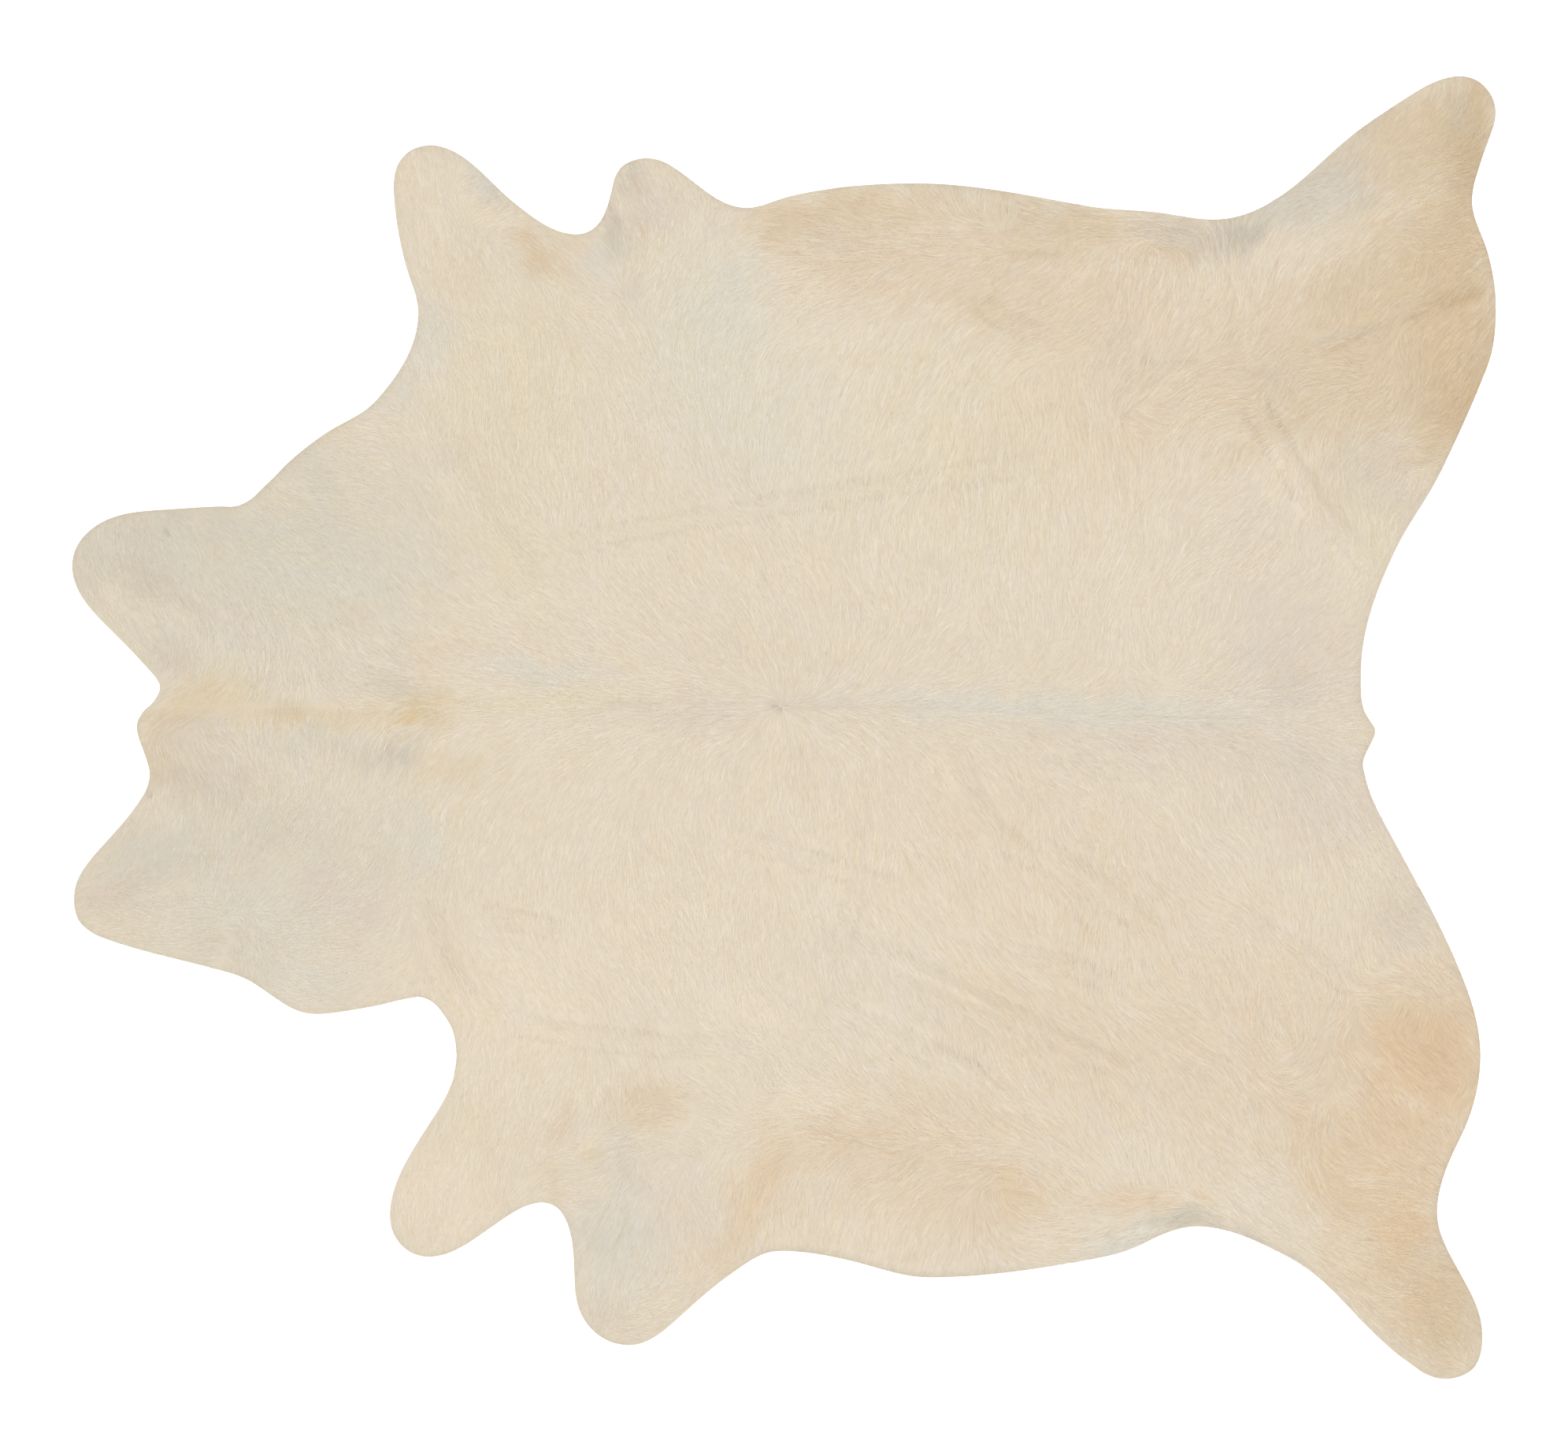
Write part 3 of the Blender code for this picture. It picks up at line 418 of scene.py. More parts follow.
PATCHES = tuple(Patch(*row) for row in (
    # Right side of the neck, cool and a little darker than the body
    (350, 730, 360, 210, 22, Tone.GREY_CREAM, 1.0), (170, 700, 130, 80, -8, Tone.SMOKE, 0.6),
    (105, 725, 50, 45, 0, Tone.SMOKE, 0.3), (260, 672, 120, 36, 0, Tone.SMOKE, 0.5),
    (395, 585, 60, 50, 45, Tone.SMOKE, 0.4), (412, 650, 40, 70, 15, Tone.SMOKE, 0.45),
    (480, 730, 130, 80, 0, Tone.COOL, 0.35), (205, 745, 110, 20, -28, Tone.MUSHROOM, 0.6),
    (220, 838, 50, 40, -30, Tone.MUSHROOM, 0.6), (300, 790, 90, 40, -20, Tone.LILAC, 0.5),
    (455, 780, 50, 28, 0, Tone.SAND, 0.35), (560, 828, 60, 34, 0, Tone.SAND, 0.5),
    (505, 800, 30, 90, 10, Tone.GREY_CREAM, 0.5),
    # Crest
    (268, 884, 84, 40, 12, Tone.STRAW, 0.7), (225, 908, 70, 24, 0, Tone.TAN, 0.5),
    (390, 908, 170, 20, -3, Tone.STRAW, 0.75), (370, 900, 34, 14, 0, Tone.SLATE, 0.4),
    (400, 942, 150, 36, 0, Tone.SMOKE, 0.55), (250, 935, 90, 40, 0, Tone.MUSHROOM, 0.5),
    (420, 852, 130, 40, 0, Tone.GREY_CREAM, 0.6), (505, 874, 66, 30, 0, Tone.SLATE, 0.45),
    (540, 903, 76, 34, 18, Tone.STRAW, 0.85), (518, 914, 18, 11, 40, Tone.GOLD, 0.6),
    (378, 910, 12, 8, -40, Tone.GOLD, 0.6), (720, 892, 190, 20, 0, Tone.OLIVE_CREAM, 0.7),
    (690, 856, 130, 30, -5, Tone.COOL, 0.6),
    # Right shoulder and foreleg
    (650, 500, 150, 260, 5, Tone.OLIVE_CREAM, 0.45), (545, 260, 90, 130, 0, Tone.WARM_CREAM, 0.3),
    (545, 430, 60, 90, 0, Tone.COOL, 0.5), (500, 500, 66, 50, 40, Tone.COOL, 0.5),
    (612, 238, 60, 28, -45, Tone.COOL, 0.75), (628, 250, 36, 14, -45, Tone.SMOKE, 0.6),
    (662, 303, 34, 20, -25, Tone.TAN, 0.5), (694, 332, 46, 30, -62, Tone.TAN, 0.65),
    (720, 320, 60, 40, -60, Tone.SAND, 0.35), (590, 350, 40, 40, -40, Tone.SAND, 0.35),
    (786, 304, 30, 64, 8, Tone.SLATE, 0.7), (802, 376, 40, 28, 0, Tone.MUSHROOM, 0.5),
    (765, 335, 30, 60, 0, Tone.COOL, 0.6), (800, 228, 26, 40, 20, Tone.SMOKE, 0.7),
    (830, 265, 70, 60, 0, Tone.LILAC, 0.7), (818, 290, 5, 22, -20, Tone.GOLD, 0.5),
    (900, 450, 150, 260, 6, Tone.PALE_GREEN, 0.85), (935, 370, 70, 90, 0, Tone.COOL, 0.6),
    (1010, 560, 130, 150, 0, Tone.PALE_GREEN, 0.6), (650, 700, 60, 120, 30, Tone.OLIVE_CREAM, 0.5),
    # Right belly
    (1000, 287, 80, 52, -15, Tone.TAN, 0.7), (1120, 325, 200, 100, 0, Tone.SAND, 0.95),
    (1060, 300, 90, 60, 0, Tone.MUSHROOM, 0.3), (1330, 360, 300, 130, -6, Tone.SAND, 0.75),
    (1305, 306, 90, 34, -4, Tone.TAN, 0.45), (1380, 290, 60, 40, 0, Tone.TAN, 0.35),
    (1495, 318, 70, 24, 0, Tone.TAN, 0.6), (1250, 262, 150, 20, -8, Tone.LILAC, 0.2),
    (1400, 500, 270, 200, -10, Tone.SAND, 0.55), (1220, 560, 260, 200, 0, Tone.OLIVE_CREAM, 0.4),
    (1440, 470, 90, 70, 0, Tone.MUSHROOM, 0.15), (1240, 388, 130, 36, -28, Tone.TAN, 0.25),
    (1090, 262, 170, 40, 4, Tone.TAN, 0.6), (1285, 266, 170, 38, -8, Tone.KHAKI, 0.45),
    (1400, 284, 110, 36, -8, Tone.TAN, 0.5), (1490, 296, 90, 30, -6, Tone.MUSHROOM, 0.85),
    # Right thigh and hind leg
    (1568, 296, 80, 42, 14, Tone.SLATE, 0.75), (1578, 296, 40, 20, 20, Tone.SLATE, 0.9),
    (1640, 258, 95, 42, 36, Tone.SMOKE, 0.8), (1705, 236, 90, 62, 38, Tone.SMOKE, 0.75),
    (1710, 195, 130, 24, 38, Tone.MUSHROOM, 0.5), (1714, 213, 30, 16, 50, Tone.SLATE, 0.4),
    (1733, 266, 36, 22, 20, Tone.SLATE, 0.4), (1660, 480, 200, 220, 0, Tone.SAND, 0.8),
    (1600, 500, 180, 160, -20, Tone.KHAKI, 0.25), (1765, 430, 165, 230, 0, Tone.TAN, 0.6),
    (1870, 480, 60, 150, -18, Tone.DEEP_TAN, 0.8), (1840, 300, 60, 90, 0, Tone.TAN, 0.5),
    (1622, 636, 90, 40, -50, Tone.CREAM, 0.8), (1676, 432, 16, 9, 0, Tone.SMOKE, 0.6),
    (1845, 420, 100, 250, 0, Tone.TAN, 0.95), (1800, 190, 120, 100, 30, Tone.TAN, 0.7),
    (1800, 325, 100, 80, 20, Tone.TAN, 0.6), (1755, 600, 110, 80, -30, Tone.MUSHROOM, 0.5),
    (1865, 190, 50, 150, -8, Tone.DEEP_TAN, 0.9), (1840, 150, 90, 60, 40, Tone.TAN, 0.5),
    (1850, 148, 30, 40, 20, Tone.SLATE, 0.5), (1840, 385, 80, 26, 20, Tone.DEEP_TAN, 0.5),
    (1720, 425, 60, 16, 15, Tone.MUSHROOM, 0.5), (1840, 520, 70, 90, 30, Tone.DEEP_TAN, 0.4),
    (1700, 590, 70, 40, -30, Tone.GREY_CREAM, 0.6), (1740, 670, 60, 80, 40, Tone.OLIVE_CREAM, 0.4),
    (1590, 680, 160, 150, 0, Tone.LILAC, 0.35), (1615, 480, 40, 40, 0, Tone.MUSHROOM, 0.5),
    # Back and rump
    (1640, 830, 150, 130, 0, Tone.LILAC, 0.8), (1690, 1010, 130, 120, 0, Tone.LILAC, 0.75),
    (1480, 940, 260, 60, -4, Tone.LILAC, 0.6), (1330, 898, 460, 32, -2, Tone.COOL, 0.75),
    (1640, 870, 60, 30, 0, Tone.SMOKE, 0.35), (1650, 960, 60, 40, 0, Tone.SMOKE, 0.3),
    (860, 905, 150, 40, 0, Tone.LILAC, 0.55), (1045, 893, 70, 12, 0, Tone.LILAC, 0.7),
    (992, 897, 26, 11, -10, Tone.MUSHROOM, 0.8), (992, 897, 11, 4.2, -12, Tone.UMBER, 0.75),
    # Slighter changes of tone, all over the hide
    (1060, 1432, 80, 44, -5, Tone.PEACH, 0.27), (890, 1600, 60, 40, -40, Tone.WARM_CREAM, 0.5),
    (960, 1500, 40, 40, 0, Tone.WARM_CREAM, 0.5), (1630, 600, 60, 70, 0, Tone.WARM_CREAM, 0.5),
    (1575, 292, 60, 26, 15, Tone.UMBER, 0.05), (1700, 360, 70, 50, 20, Tone.DEEP_TAN, 0.18),
    (1880, 350, 40, 50, 0, Tone.DEEP_TAN, 0.18), (1500, 297, 50, 20, 0, Tone.KHAKI, 0.25),
    (330, 880, 40, 30, 0, Tone.SMOKE, 0.25), (1500, 1545, 44, 20, 0, Tone.COOL, 0.3),
    (1400, 420, 60, 40, 0, Tone.MUSHROOM, 0.25), (350, 720, 60, 50, 0, Tone.COOL, 0.4),
    (1700, 1580, 40, 30, 0, Tone.PEACH, 0.15), (1225, 1045, 50, 30, 0, Tone.WARM_CREAM, 0.35),
    (1235, 1255, 60, 36, 25, Tone.WARM_CREAM, 0.35), (1320, 1120, 60, 40, 0, Tone.WARM_CREAM, 0.25),
    (1745, 1160, 50, 60, 0, Tone.STRAW, 0.12), (1520, 1430, 80, 40, -10, Tone.PEACH, 0.12),
    # Painted shade along the parting of the back, and specks beside it
    (860, 893, 200, 2.4, 0, Tone.UMBER, 0.11), (1220, 900, 280, 2.2, -1, Tone.UMBER, 0.05),
    (420, 906, 200, 2.6, 0, Tone.UMBER, 0.12), (1500, 911, 130, 2.2, -1, Tone.UMBER, 0.14),
    (1537, 921, 8, 4, 0, Tone.UMBER, 0.4), (1544, 944, 5, 3.5, -50, Tone.UMBER, 0.3),
    (1565, 952, 5, 3.5, -60, Tone.UMBER, 0.3),
    # Left side of the neck
    (340, 1100, 330, 200, 8, Tone.GREY_CREAM, 0.9), (200, 1085, 110, 60, 25, Tone.SMOKE, 0.55),
    (320, 1150, 140, 50, -20, Tone.COOL, 0.4), (290, 1200, 110, 50, -20, Tone.SMOKE, 0.3),
    (390, 1240, 110, 50, -8, Tone.COOL, 0.5), (250, 990, 110, 50, -12, Tone.MUSHROOM, 0.65),
    (200, 960, 40, 60, 0, Tone.TAN, 0.4), (350, 1055, 90, 40, -10, Tone.MUSHROOM, 0.4),
    (430, 1140, 110, 70, 0, Tone.LILAC, 0.8), (300, 1100, 110, 60, 0, Tone.LILAC, 0.35),
    (155, 1142, 80, 36, 0, Tone.MUSHROOM, 0.5), (498, 964, 58, 34, -10, Tone.SLATE, 0.75),
    (582, 978, 60, 42, 0, Tone.STRAW, 0.5), (530, 1060, 50, 70, 0, Tone.COOL, 0.5),
    # Left shoulder and foreleg
    (640, 1290, 190, 190, 0, Tone.WARM_CREAM, 0.8), (560, 1510, 140, 130, 0, Tone.WARM_CREAM, 1.0),
    (560, 1230, 60, 120, 0, Tone.SAND, 0.25), (780, 1200, 200, 140, 0, Tone.WARM_CREAM, 0.4),
    (600, 1440, 60, 60, 0, Tone.OLIVE_CREAM, 0.4), (825, 1403, 85, 50, 5, Tone.TAN, 0.45),
    (715, 1430, 40, 30, 60, Tone.SAND, 0.7), (694, 1484, 34, 26, 0, Tone.TAN, 0.25),
    (704, 1515, 14, 22, 0, Tone.TAN, 0.3), (795, 1480, 40, 90, 15, Tone.SMOKE, 0.6),
    (785, 1580, 90, 110, 0, Tone.COOL, 0.65), (776, 1580, 30, 80, 25, Tone.SMOKE, 0.2),
    (798, 1568, 12, 46, 22, Tone.SLATE, 0.2), (755, 1575, 12, 50, 35, Tone.SLATE, 0.2),
    (752, 1468, 26, 14, 0, Tone.STRAW, 0.4), (775, 1670, 50, 50, 0, Tone.SMOKE, 0.25),
    (870, 1530, 60, 120, 20, Tone.LILAC, 0.4),
    # Left belly
    (955, 1520, 125, 52, 62, Tone.PEACH, 0.5), (905, 1600, 90, 46, 50, Tone.PEACH, 0.15),
    (985, 1492, 44, 30, 0, Tone.PEACH, 0.4), (1000, 1478, 70, 60, 0, Tone.PEACH, 0.25),
    (1110, 1448, 200, 70, -10, Tone.SAND, 0.9), (1060, 1432, 90, 30, -10, Tone.PEACH, 0.15),
    (1220, 1410, 230, 50, -14, Tone.SAND, 0.6), (1200, 1520, 290, 110, 0, Tone.SAND, 0.7),
    (1100, 1560, 90, 60, 0, Tone.WARM_CREAM, 0.4), (1285, 1508, 70, 50, -20, Tone.PEACH, 0.4),
    (1284, 1512, 14, 9, -20, Tone.DEEP_TAN, 0.5), (1445, 1524, 90, 26, 6, Tone.PEACH, 0.45),
    (1532, 1522, 34, 12, 0, Tone.PEACH, 0.4), (1500, 1550, 70, 24, 0, Tone.SLATE, 0.9),
    (1420, 1580, 90, 28, 18, Tone.COOL, 0.7), (1600, 1588, 110, 24, -30, Tone.SMOKE, 0.6),
    (1100, 1080, 420, 220, -10, Tone.WARM_CREAM, 0.4),
    # A painted highlight that lightens the shaded side of the long fold of the left shoulder
    (950, 1285, 110, 50, -15, Tone.WARM_CREAM, 0.8),
    (1040, 1405, 90, 40, -10, Tone.WARM_CREAM, 0.6), (1120, 1240, 150, 60, -25, Tone.COOL, 0.2),
    (1350, 1130, 360, 190, -25, Tone.SAND, 0.35), (1350, 1330, 280, 130, -25, Tone.SAND, 0.5),
    # Left thigh and hind leg
    (1600, 1330, 240, 220, 0, Tone.SAND, 0.55), (1740, 1400, 200, 220, 0, Tone.SAND, 0.6),
    (1810, 1340, 140, 150, 0, Tone.PEACH, 0.9), (1835, 1340, 60, 110, -8, Tone.DEEP_TAN, 0.12),
    (1775, 1290, 70, 50, 30, Tone.DEEP_TAN, 0.12), (1760, 1470, 130, 120, 0, Tone.PEACH, 0.6),
    (1700, 1520, 90, 60, -20, Tone.PEACH, 0.45), (1670, 1440, 60, 70, 0, Tone.PEACH, 0.4),
    (1700, 1392, 34, 18, 20, Tone.WARM_CREAM, 0.5), (1790, 1400, 40, 16, -40, Tone.WARM_CREAM, 0.4),
    (1745, 1345, 40, 18, 0, Tone.WARM_CREAM, 0.35), (1740, 1500, 44, 14, 8, Tone.WARM_CREAM, 0.4),
    (1687, 1438, 12, 18, 0, Tone.SMOKE, 0.5), (1590, 1406, 14, 9, 0, Tone.SMOKE, 0.5),
    (1785, 1560, 60, 80, -20, Tone.PEACH, 0.8), (1825, 1655, 95, 150, 12, Tone.TAN, 0.85),
    (1745, 1620, 130, 80, -42, Tone.PEACH, 0.4), (1785, 1170, 60, 70, -30, Tone.MUSHROOM, 0.5),
    (1830, 1240, 60, 60, 0, Tone.SAND, 0.6),
    # Dark specks
    (213, 677, 4, 4, 0, Tone.UMBER, 0.4), (193, 1011, 4, 4, 0, Tone.UMBER, 0.4),
    (284, 1166, 4, 5, 0, Tone.UMBER, 0.35), (1277, 268, 4, 4, 0, Tone.UMBER, 0.35),
    (1253, 328, 4, 4, 0, Tone.UMBER, 0.4), (1316, 298, 5, 4, 0, Tone.UMBER, 0.35),
    (1559, 1449, 4, 4, 0, Tone.UMBER, 0.3), (1564, 1441, 4, 4, 0, Tone.UMBER, 0.3),
    (1737, 1575, 3.5, 3.5, 0, Tone.UMBER, 0.4),
))

# Painted shade along folds, partings and clumps of the hair, and painted highlights on ridges where
# the depth is negative
CREASE_LIGHT_AND_SHADE = tuple(CreaseLightAndShade(*row) for row in (
    # Right thigh and hip
    (1603, 514, 1646, 584, 6, 0.03), (1632, 560, 1700, 668, 6, 0.05),
    (1680, 640, 1755, 714, 6, 0.06), (1610, 570, 1726, 724, 12, -0.07, -8),
    (1578, 520, 1640, 626, 6, -0.04), (1557, 338, 1574, 440, 5, 0.07),
    (1571, 360, 1584, 462, 5, -0.05), (1580, 470, 1622, 480, 8, 0.13),
    (1618, 488, 1664, 524, 11, 0.09), (1677, 452, 1760, 411, 4, 0.15),
    (1780, 407, 1816, 396, 5, 0.20), (1826, 393, 1888, 369, 6, 0.20),
    (1645, 452, 1688, 450, 8, -0.03), (1830, 256, 1865, 298, 6, 0.07),
    (1828, 225, 1870, 239, 4, 0.08), (1766, 584, 1836, 593, 5, 0.08),
    (1566, 688, 1604, 709, 5, 0.05), (1716, 575, 1763, 612, 12, 0.03),
    (1790, 430, 1830, 420, 9, -0.04),
    # Right belly
    (1262, 314, 1366, 319, 4, 0.17, -8), (1296, 323, 1356, 323, 3, 0.10),
    (1465, 316, 1523, 322, 4, 0.10), (1290, 311, 1350, 306, 3, -0.05, -3),
    (1284, 303, 1290, 288, 3, 0.07, 2), (1292, 302, 1298, 287, 3, 0.06, 2),
    (1291, 288, 1345, 290, 3, 0.06, 9), (1300, 301, 1318, 306, 3, 0.06, -2),
    (1345, 288, 1358, 306, 3, 0.06, 3), (1227, 382, 1298, 436, 5, 0.07),
    (1294, 430, 1338, 433, 5, 0.05), (1428, 470, 1436, 482, 6, 0.17),
    (1440, 524, 1468, 538, 4, 0.10), (1490, 528, 1546, 560, 4, 0.09),
    (1354, 531, 1384, 561, 4, 0.09), (1327, 488, 1344, 523, 4, 0.06),
    (1406, 444, 1406, 545, 6, -0.03), (1440, 458, 1560, 474, 5, 0.03),
    (1262, 474, 1276, 456, 4, -0.05), (1480, 552, 1502, 536, 4, -0.05),
    (1300, 340, 1400, 352, 10, -0.03),
    # Right loins
    (1420, 596, 1402, 650, 5, 0.05), (1402, 650, 1364, 706, 5, 0.06),
    (1398, 728, 1416, 742, 5, 0.05), (1256, 866, 1266, 880, 6, 0.08),
    (1262, 880, 1254, 925, 5, 0.03), (1140, 850, 1132, 874, 5, 0.05),
    (1386, 820, 1368, 860, 5, 0.04), (1430, 845, 1452, 876, 5, 0.04),
    # Spine
    (984, 891, 1004, 901, 5, 0.14), (1000, 898, 1060, 900, 5, 0.06),
    (1090, 896, 1215, 897, 4, 0.05), (1300, 905, 1340, 902, 4, 0.05),
    (1345, 917, 1370, 917, 3, 0.05), (1528, 918, 1546, 923, 4, 0.16),
    # Left back and loins
    (1098, 922, 1092, 1008, 7, 0.04), (1085, 1000, 1086, 1132, 6, 0.035),
    (1086, 1132, 1112, 1212, 6, 0.03), (1214, 922, 1224, 1004, 6, 0.05),
    (1222, 995, 1252, 1026, 9, 0.045), (1252, 1024, 1308, 1090, 6, 0.03),
    (1318, 918, 1300, 962, 5, 0.05), (1326, 1068, 1412, 1120, 6, 0.015),
    (1400, 1112, 1492, 1206, 6, 0.035), (1310, 1085, 1372, 1130, 7, -0.02),
    (1360, 1120, 1445, 1170, 7, -0.02), (1300, 1090, 1370, 1150, 9, 0.015),
    (1355, 1142, 1395, 1206, 14, 0.03), (985, 1080, 1030, 1100, 6, 0.03),
    (1030, 1090, 1076, 1122, 5, 0.03), (1075, 1185, 1042, 1264, 6, 0.06),
    (1211, 1086, 1232, 1160, 5, 0.05), (1149, 1149, 1188, 1175, 5, 0.04),
    # Left flank
    (1136, 1216, 1194, 1237, 4, 0.03), (1110, 1212, 1258, 1278, 6, -0.08),
    (1225, 1276, 1345, 1338, 5, -0.04), (1090, 1192, 1225, 1248, 6, -0.03),
    (1150, 1312, 1290, 1398, 6, -0.04), (1250, 1272, 1340, 1314, 8, 0.03),
    (1330, 1306, 1440, 1356, 9, 0.04), (1330, 1320, 1448, 1370, 5, -0.03),
    (1142, 1252, 1168, 1306, 4, 0.02), (1080, 1274, 1190, 1320, 16, -0.06),
    (1040, 1268, 1110, 1312, 5, -0.04), (1096, 1304, 1232, 1372, 6, -0.06),
    (1220, 1366, 1306, 1424, 5, -0.06), (1282, 1405, 1384, 1476, 3, 0.09),
    (1228, 1391, 1284, 1413, 4, 0.04), (1150, 1352, 1230, 1392, 6, 0.02),
    (1280, 1205, 1336, 1230, 4, 0.04), (1330, 1224, 1404, 1264, 4, 0.05),
    (1423, 1234, 1444, 1262, 5, 0.08), (1464, 1278, 1518, 1318, 5, 0.06),
    (1280, 1222, 1350, 1262, 7, -0.03), (1036, 1262, 1064, 1284, 5, 0.07),
    # Left belly
    (1034, 1435, 1144, 1468, 3, 0.13), (1130, 1506, 1182, 1458, 4, 0.09),
    (1172, 1464, 1220, 1440, 4, 0.12), (1046, 1462, 1100, 1504, 13, 0.05),
    (1000, 1396, 1024, 1398, 3, 0.08), (1220, 1478, 1302, 1487, 4, 0.10),
    (1272, 1506, 1290, 1514, 5, 0.12), (1277, 1495, 1322, 1513, 4, -0.07),
    (1286, 1518, 1322, 1522, 6, 0.06), (1440, 1526, 1500, 1520, 5, 0.06),
    (1510, 1516, 1548, 1526, 4, 0.07),
    # Crest and neck
    (254, 906, 279, 903, 3, 0.10), (324, 902, 386, 897, 3, 0.13), (388, 918, 452, 925, 4, 0.07),
    (208, 918, 240, 912, 3, 0.09), (204, 908, 216, 908, 4, 0.10), (370, 896, 382, 900, 4, 0.12),
    (478, 896, 532, 874, 6, 0.06), (372, 908, 390, 914, 5, 0.07), (186, 1000, 238, 976, 9, 0.05),
    (176, 806, 226, 850, 8, 0.06), (310, 1028, 368, 1040, 5, 0.03), (338, 1062, 366, 1082, 6, 0.04),
    (140, 734, 230, 768, 9, 0.03), (545, 1138, 552, 1200, 8, 0.06), (560, 1208, 592, 1258, 8, 0.05),
    (596, 1212, 638, 1258, 4, 0.06), (530, 1245, 560, 1276, 9, -0.03),
    (580, 1146, 640, 1206, 11, -0.02),
    # Right shoulder and foreleg
    (797, 214, 818, 254, 4, 0.18), (775, 258, 790, 298, 5, 0.17), (806, 264, 825, 320, 3, 0.07),
    (780, 234, 793, 276, 5, -0.07), (790, 300, 806, 346, 9, 0.03), (806, 336, 808, 386, 7, 0.04),
    (592, 222, 604, 240, 3, 0.06), (600, 236, 614, 258, 3, 0.06), (614, 240, 630, 266, 3, 0.06),
    (628, 256, 644, 282, 3, 0.06), (642, 266, 658, 290, 3, 0.06), (606, 228, 620, 250, 3, -0.05),
    (622, 246, 638, 272, 3, -0.05), (636, 262, 650, 286, 3, -0.05), (706, 390, 722, 438, 4, 0.05),
    (720, 436, 734, 476, 4, 0.05), (819, 396, 832, 464, 3, 0.07), (898, 374, 903, 446, 4, 0.05),
    (640, 438, 654, 500, 4, 0.04), (652, 508, 655, 532, 4, 0.08), (708, 520, 690, 568, 5, 0.03),
    (696, 578, 714, 616, 4, -0.05), (732, 598, 735, 612, 4, 0.07), (853, 534, 886, 592, 7, 0.03),
    (902, 568, 926, 616, 7, 0.03), (572, 545, 608, 580, 16, 0.03), (606, 592, 656, 616, 14, 0.03),
    (740, 668, 1080, 618, 6, -0.04), (760, 690, 1330, 596, 5, -0.05),
    (1080, 616, 1310, 577, 6, -0.03), (664, 700, 744, 714, 4, 0.04), (742, 712, 822, 686, 5, 0.03),
    (820, 686, 926, 650, 5, 0.02), (924, 650, 964, 658, 4, 0.02), (960, 657, 987, 696, 4, 0.03),
    (650, 636, 684, 756, 7, 0.04, 6), (566, 598, 664, 736, 16, -0.02),
    # Left shoulder and foreleg
    (606, 1154, 664, 1176, 5, 0.03), (658, 1174, 726, 1186, 5, 0.045),
    (612, 1290, 668, 1305, 5, 0.05), (702, 1296, 744, 1321, 5, 0.04),
    (742, 1317, 786, 1331, 5, 0.045), (784, 1328, 822, 1337, 5, 0.015),
    (864, 1334, 916, 1347, 4, 0.03), (686, 1310, 638, 1368, 6, 0.05),
    (642, 1364, 594, 1414, 6, 0.05), (622, 1470, 680, 1503, 8, 0.05),
    (596, 1442, 632, 1474, 8, 0.03), (690, 1471, 700, 1504, 3, 0.11, 4),
    (698, 1500, 709, 1524, 3, 0.09), (672, 1474, 690, 1476, 4, -0.06),
    (722, 1408, 708, 1450, 7, 0.07), (782, 1402, 846, 1386, 6, 0.07),
    (824, 1388, 846, 1392, 5, 0.08), (774, 1526, 748, 1584, 4, 0.10),
    (750, 1578, 731, 1612, 4, 0.07), (799, 1542, 779, 1588, 4, 0.16),
    (744, 1552, 806, 1528, 7, 0.05), (742, 1660, 780, 1684, 8, 0.04),
    (510, 1550, 526, 1572, 8, 0.05), (846, 1120, 906, 1129, 4, 0.05),
    (920, 1200, 930, 1244, 5, 0.03), (724, 1230, 780, 1268, 5, 0.03),
    # Left thigh and hind leg
    (1605, 1168, 1624, 1197, 6, 0.05), (1616, 1190, 1660, 1226, 5, 0.04),
    (1684, 1235, 1748, 1255, 5, 0.06), (1752, 1243, 1778, 1248, 5, 0.06),
    (1784, 1163, 1806, 1178, 6, 0.07), (1781, 1270, 1800, 1320, 7, 0.08),
    (1745, 1304, 1766, 1338, 5, 0.07), (1816, 1323, 1854, 1366, 8, 0.05),
    (1546, 1410, 1570, 1456, 7, 0.04), (1574, 1434, 1608, 1472, 7, 0.03),
    (1640, 1458, 1654, 1478, 7, 0.08), (1674, 1418, 1658, 1460, 7, 0.05),
    (1661, 1484, 1682, 1546, 4, 0.12), (1650, 1500, 1668, 1542, 3, 0.09),
    (1674, 1480, 1690, 1520, 3, 0.07), (1680, 1523, 1738, 1538, 6, 0.06),
    (1736, 1540, 1790, 1552, 7, 0.03), (1787, 1540, 1812, 1562, 7, 0.07),
    (1786, 1588, 1848, 1600, 4, 0.06), (1826, 1604, 1856, 1616, 5, 0.12),
    (1710, 1622, 1736, 1634, 6, 0.08), (1793, 1640, 1828, 1694, 13, 0.03),
    (1798, 1602, 1850, 1606, 4, -0.04), (1728, 1466, 1770, 1484, 10, -0.02),
))


def linear(hex_colour: str) -> np.ndarray:
    """Turns an sRGB hex colour into linear light.

    Args:
        hex_colour: Six hex digits after a number sign.

    Returns:
        Red, green and blue from 0 to 1, linear.
    """
    shares = np.array([int(hex_colour[at : at + 2], 16) for at in (1, 3, 5)]) / 255
    return np.where(shares <= 0.04045, shares / 12.92, ((shares + 0.055) / 1.055) ** 2.4)


def smooth_step(value: np.ndarray) -> np.ndarray:
    """0 up to 0, 1 from 1, and an even ease between."""
    value = np.clip(value, 0.0, 1.0)
    return value * value * (3.0 - 2.0 * value)


def column(rows: tuple, name: str) -> np.ndarray:
    """One named column of a table as an array."""
    return np.array([getattr(row, name) for row in rows], float)


def turned(ways: np.ndarray, angle: np.ndarray) -> np.ndarray:
    """Flat vectors turned anticlockwise by an angle each, in radians."""
    cos, sin = np.cos(angle), np.sin(angle)
    return np.stack([ways[:, 0] * cos - ways[:, 1] * sin,
                     ways[:, 0] * sin + ways[:, 1] * cos], axis=1)


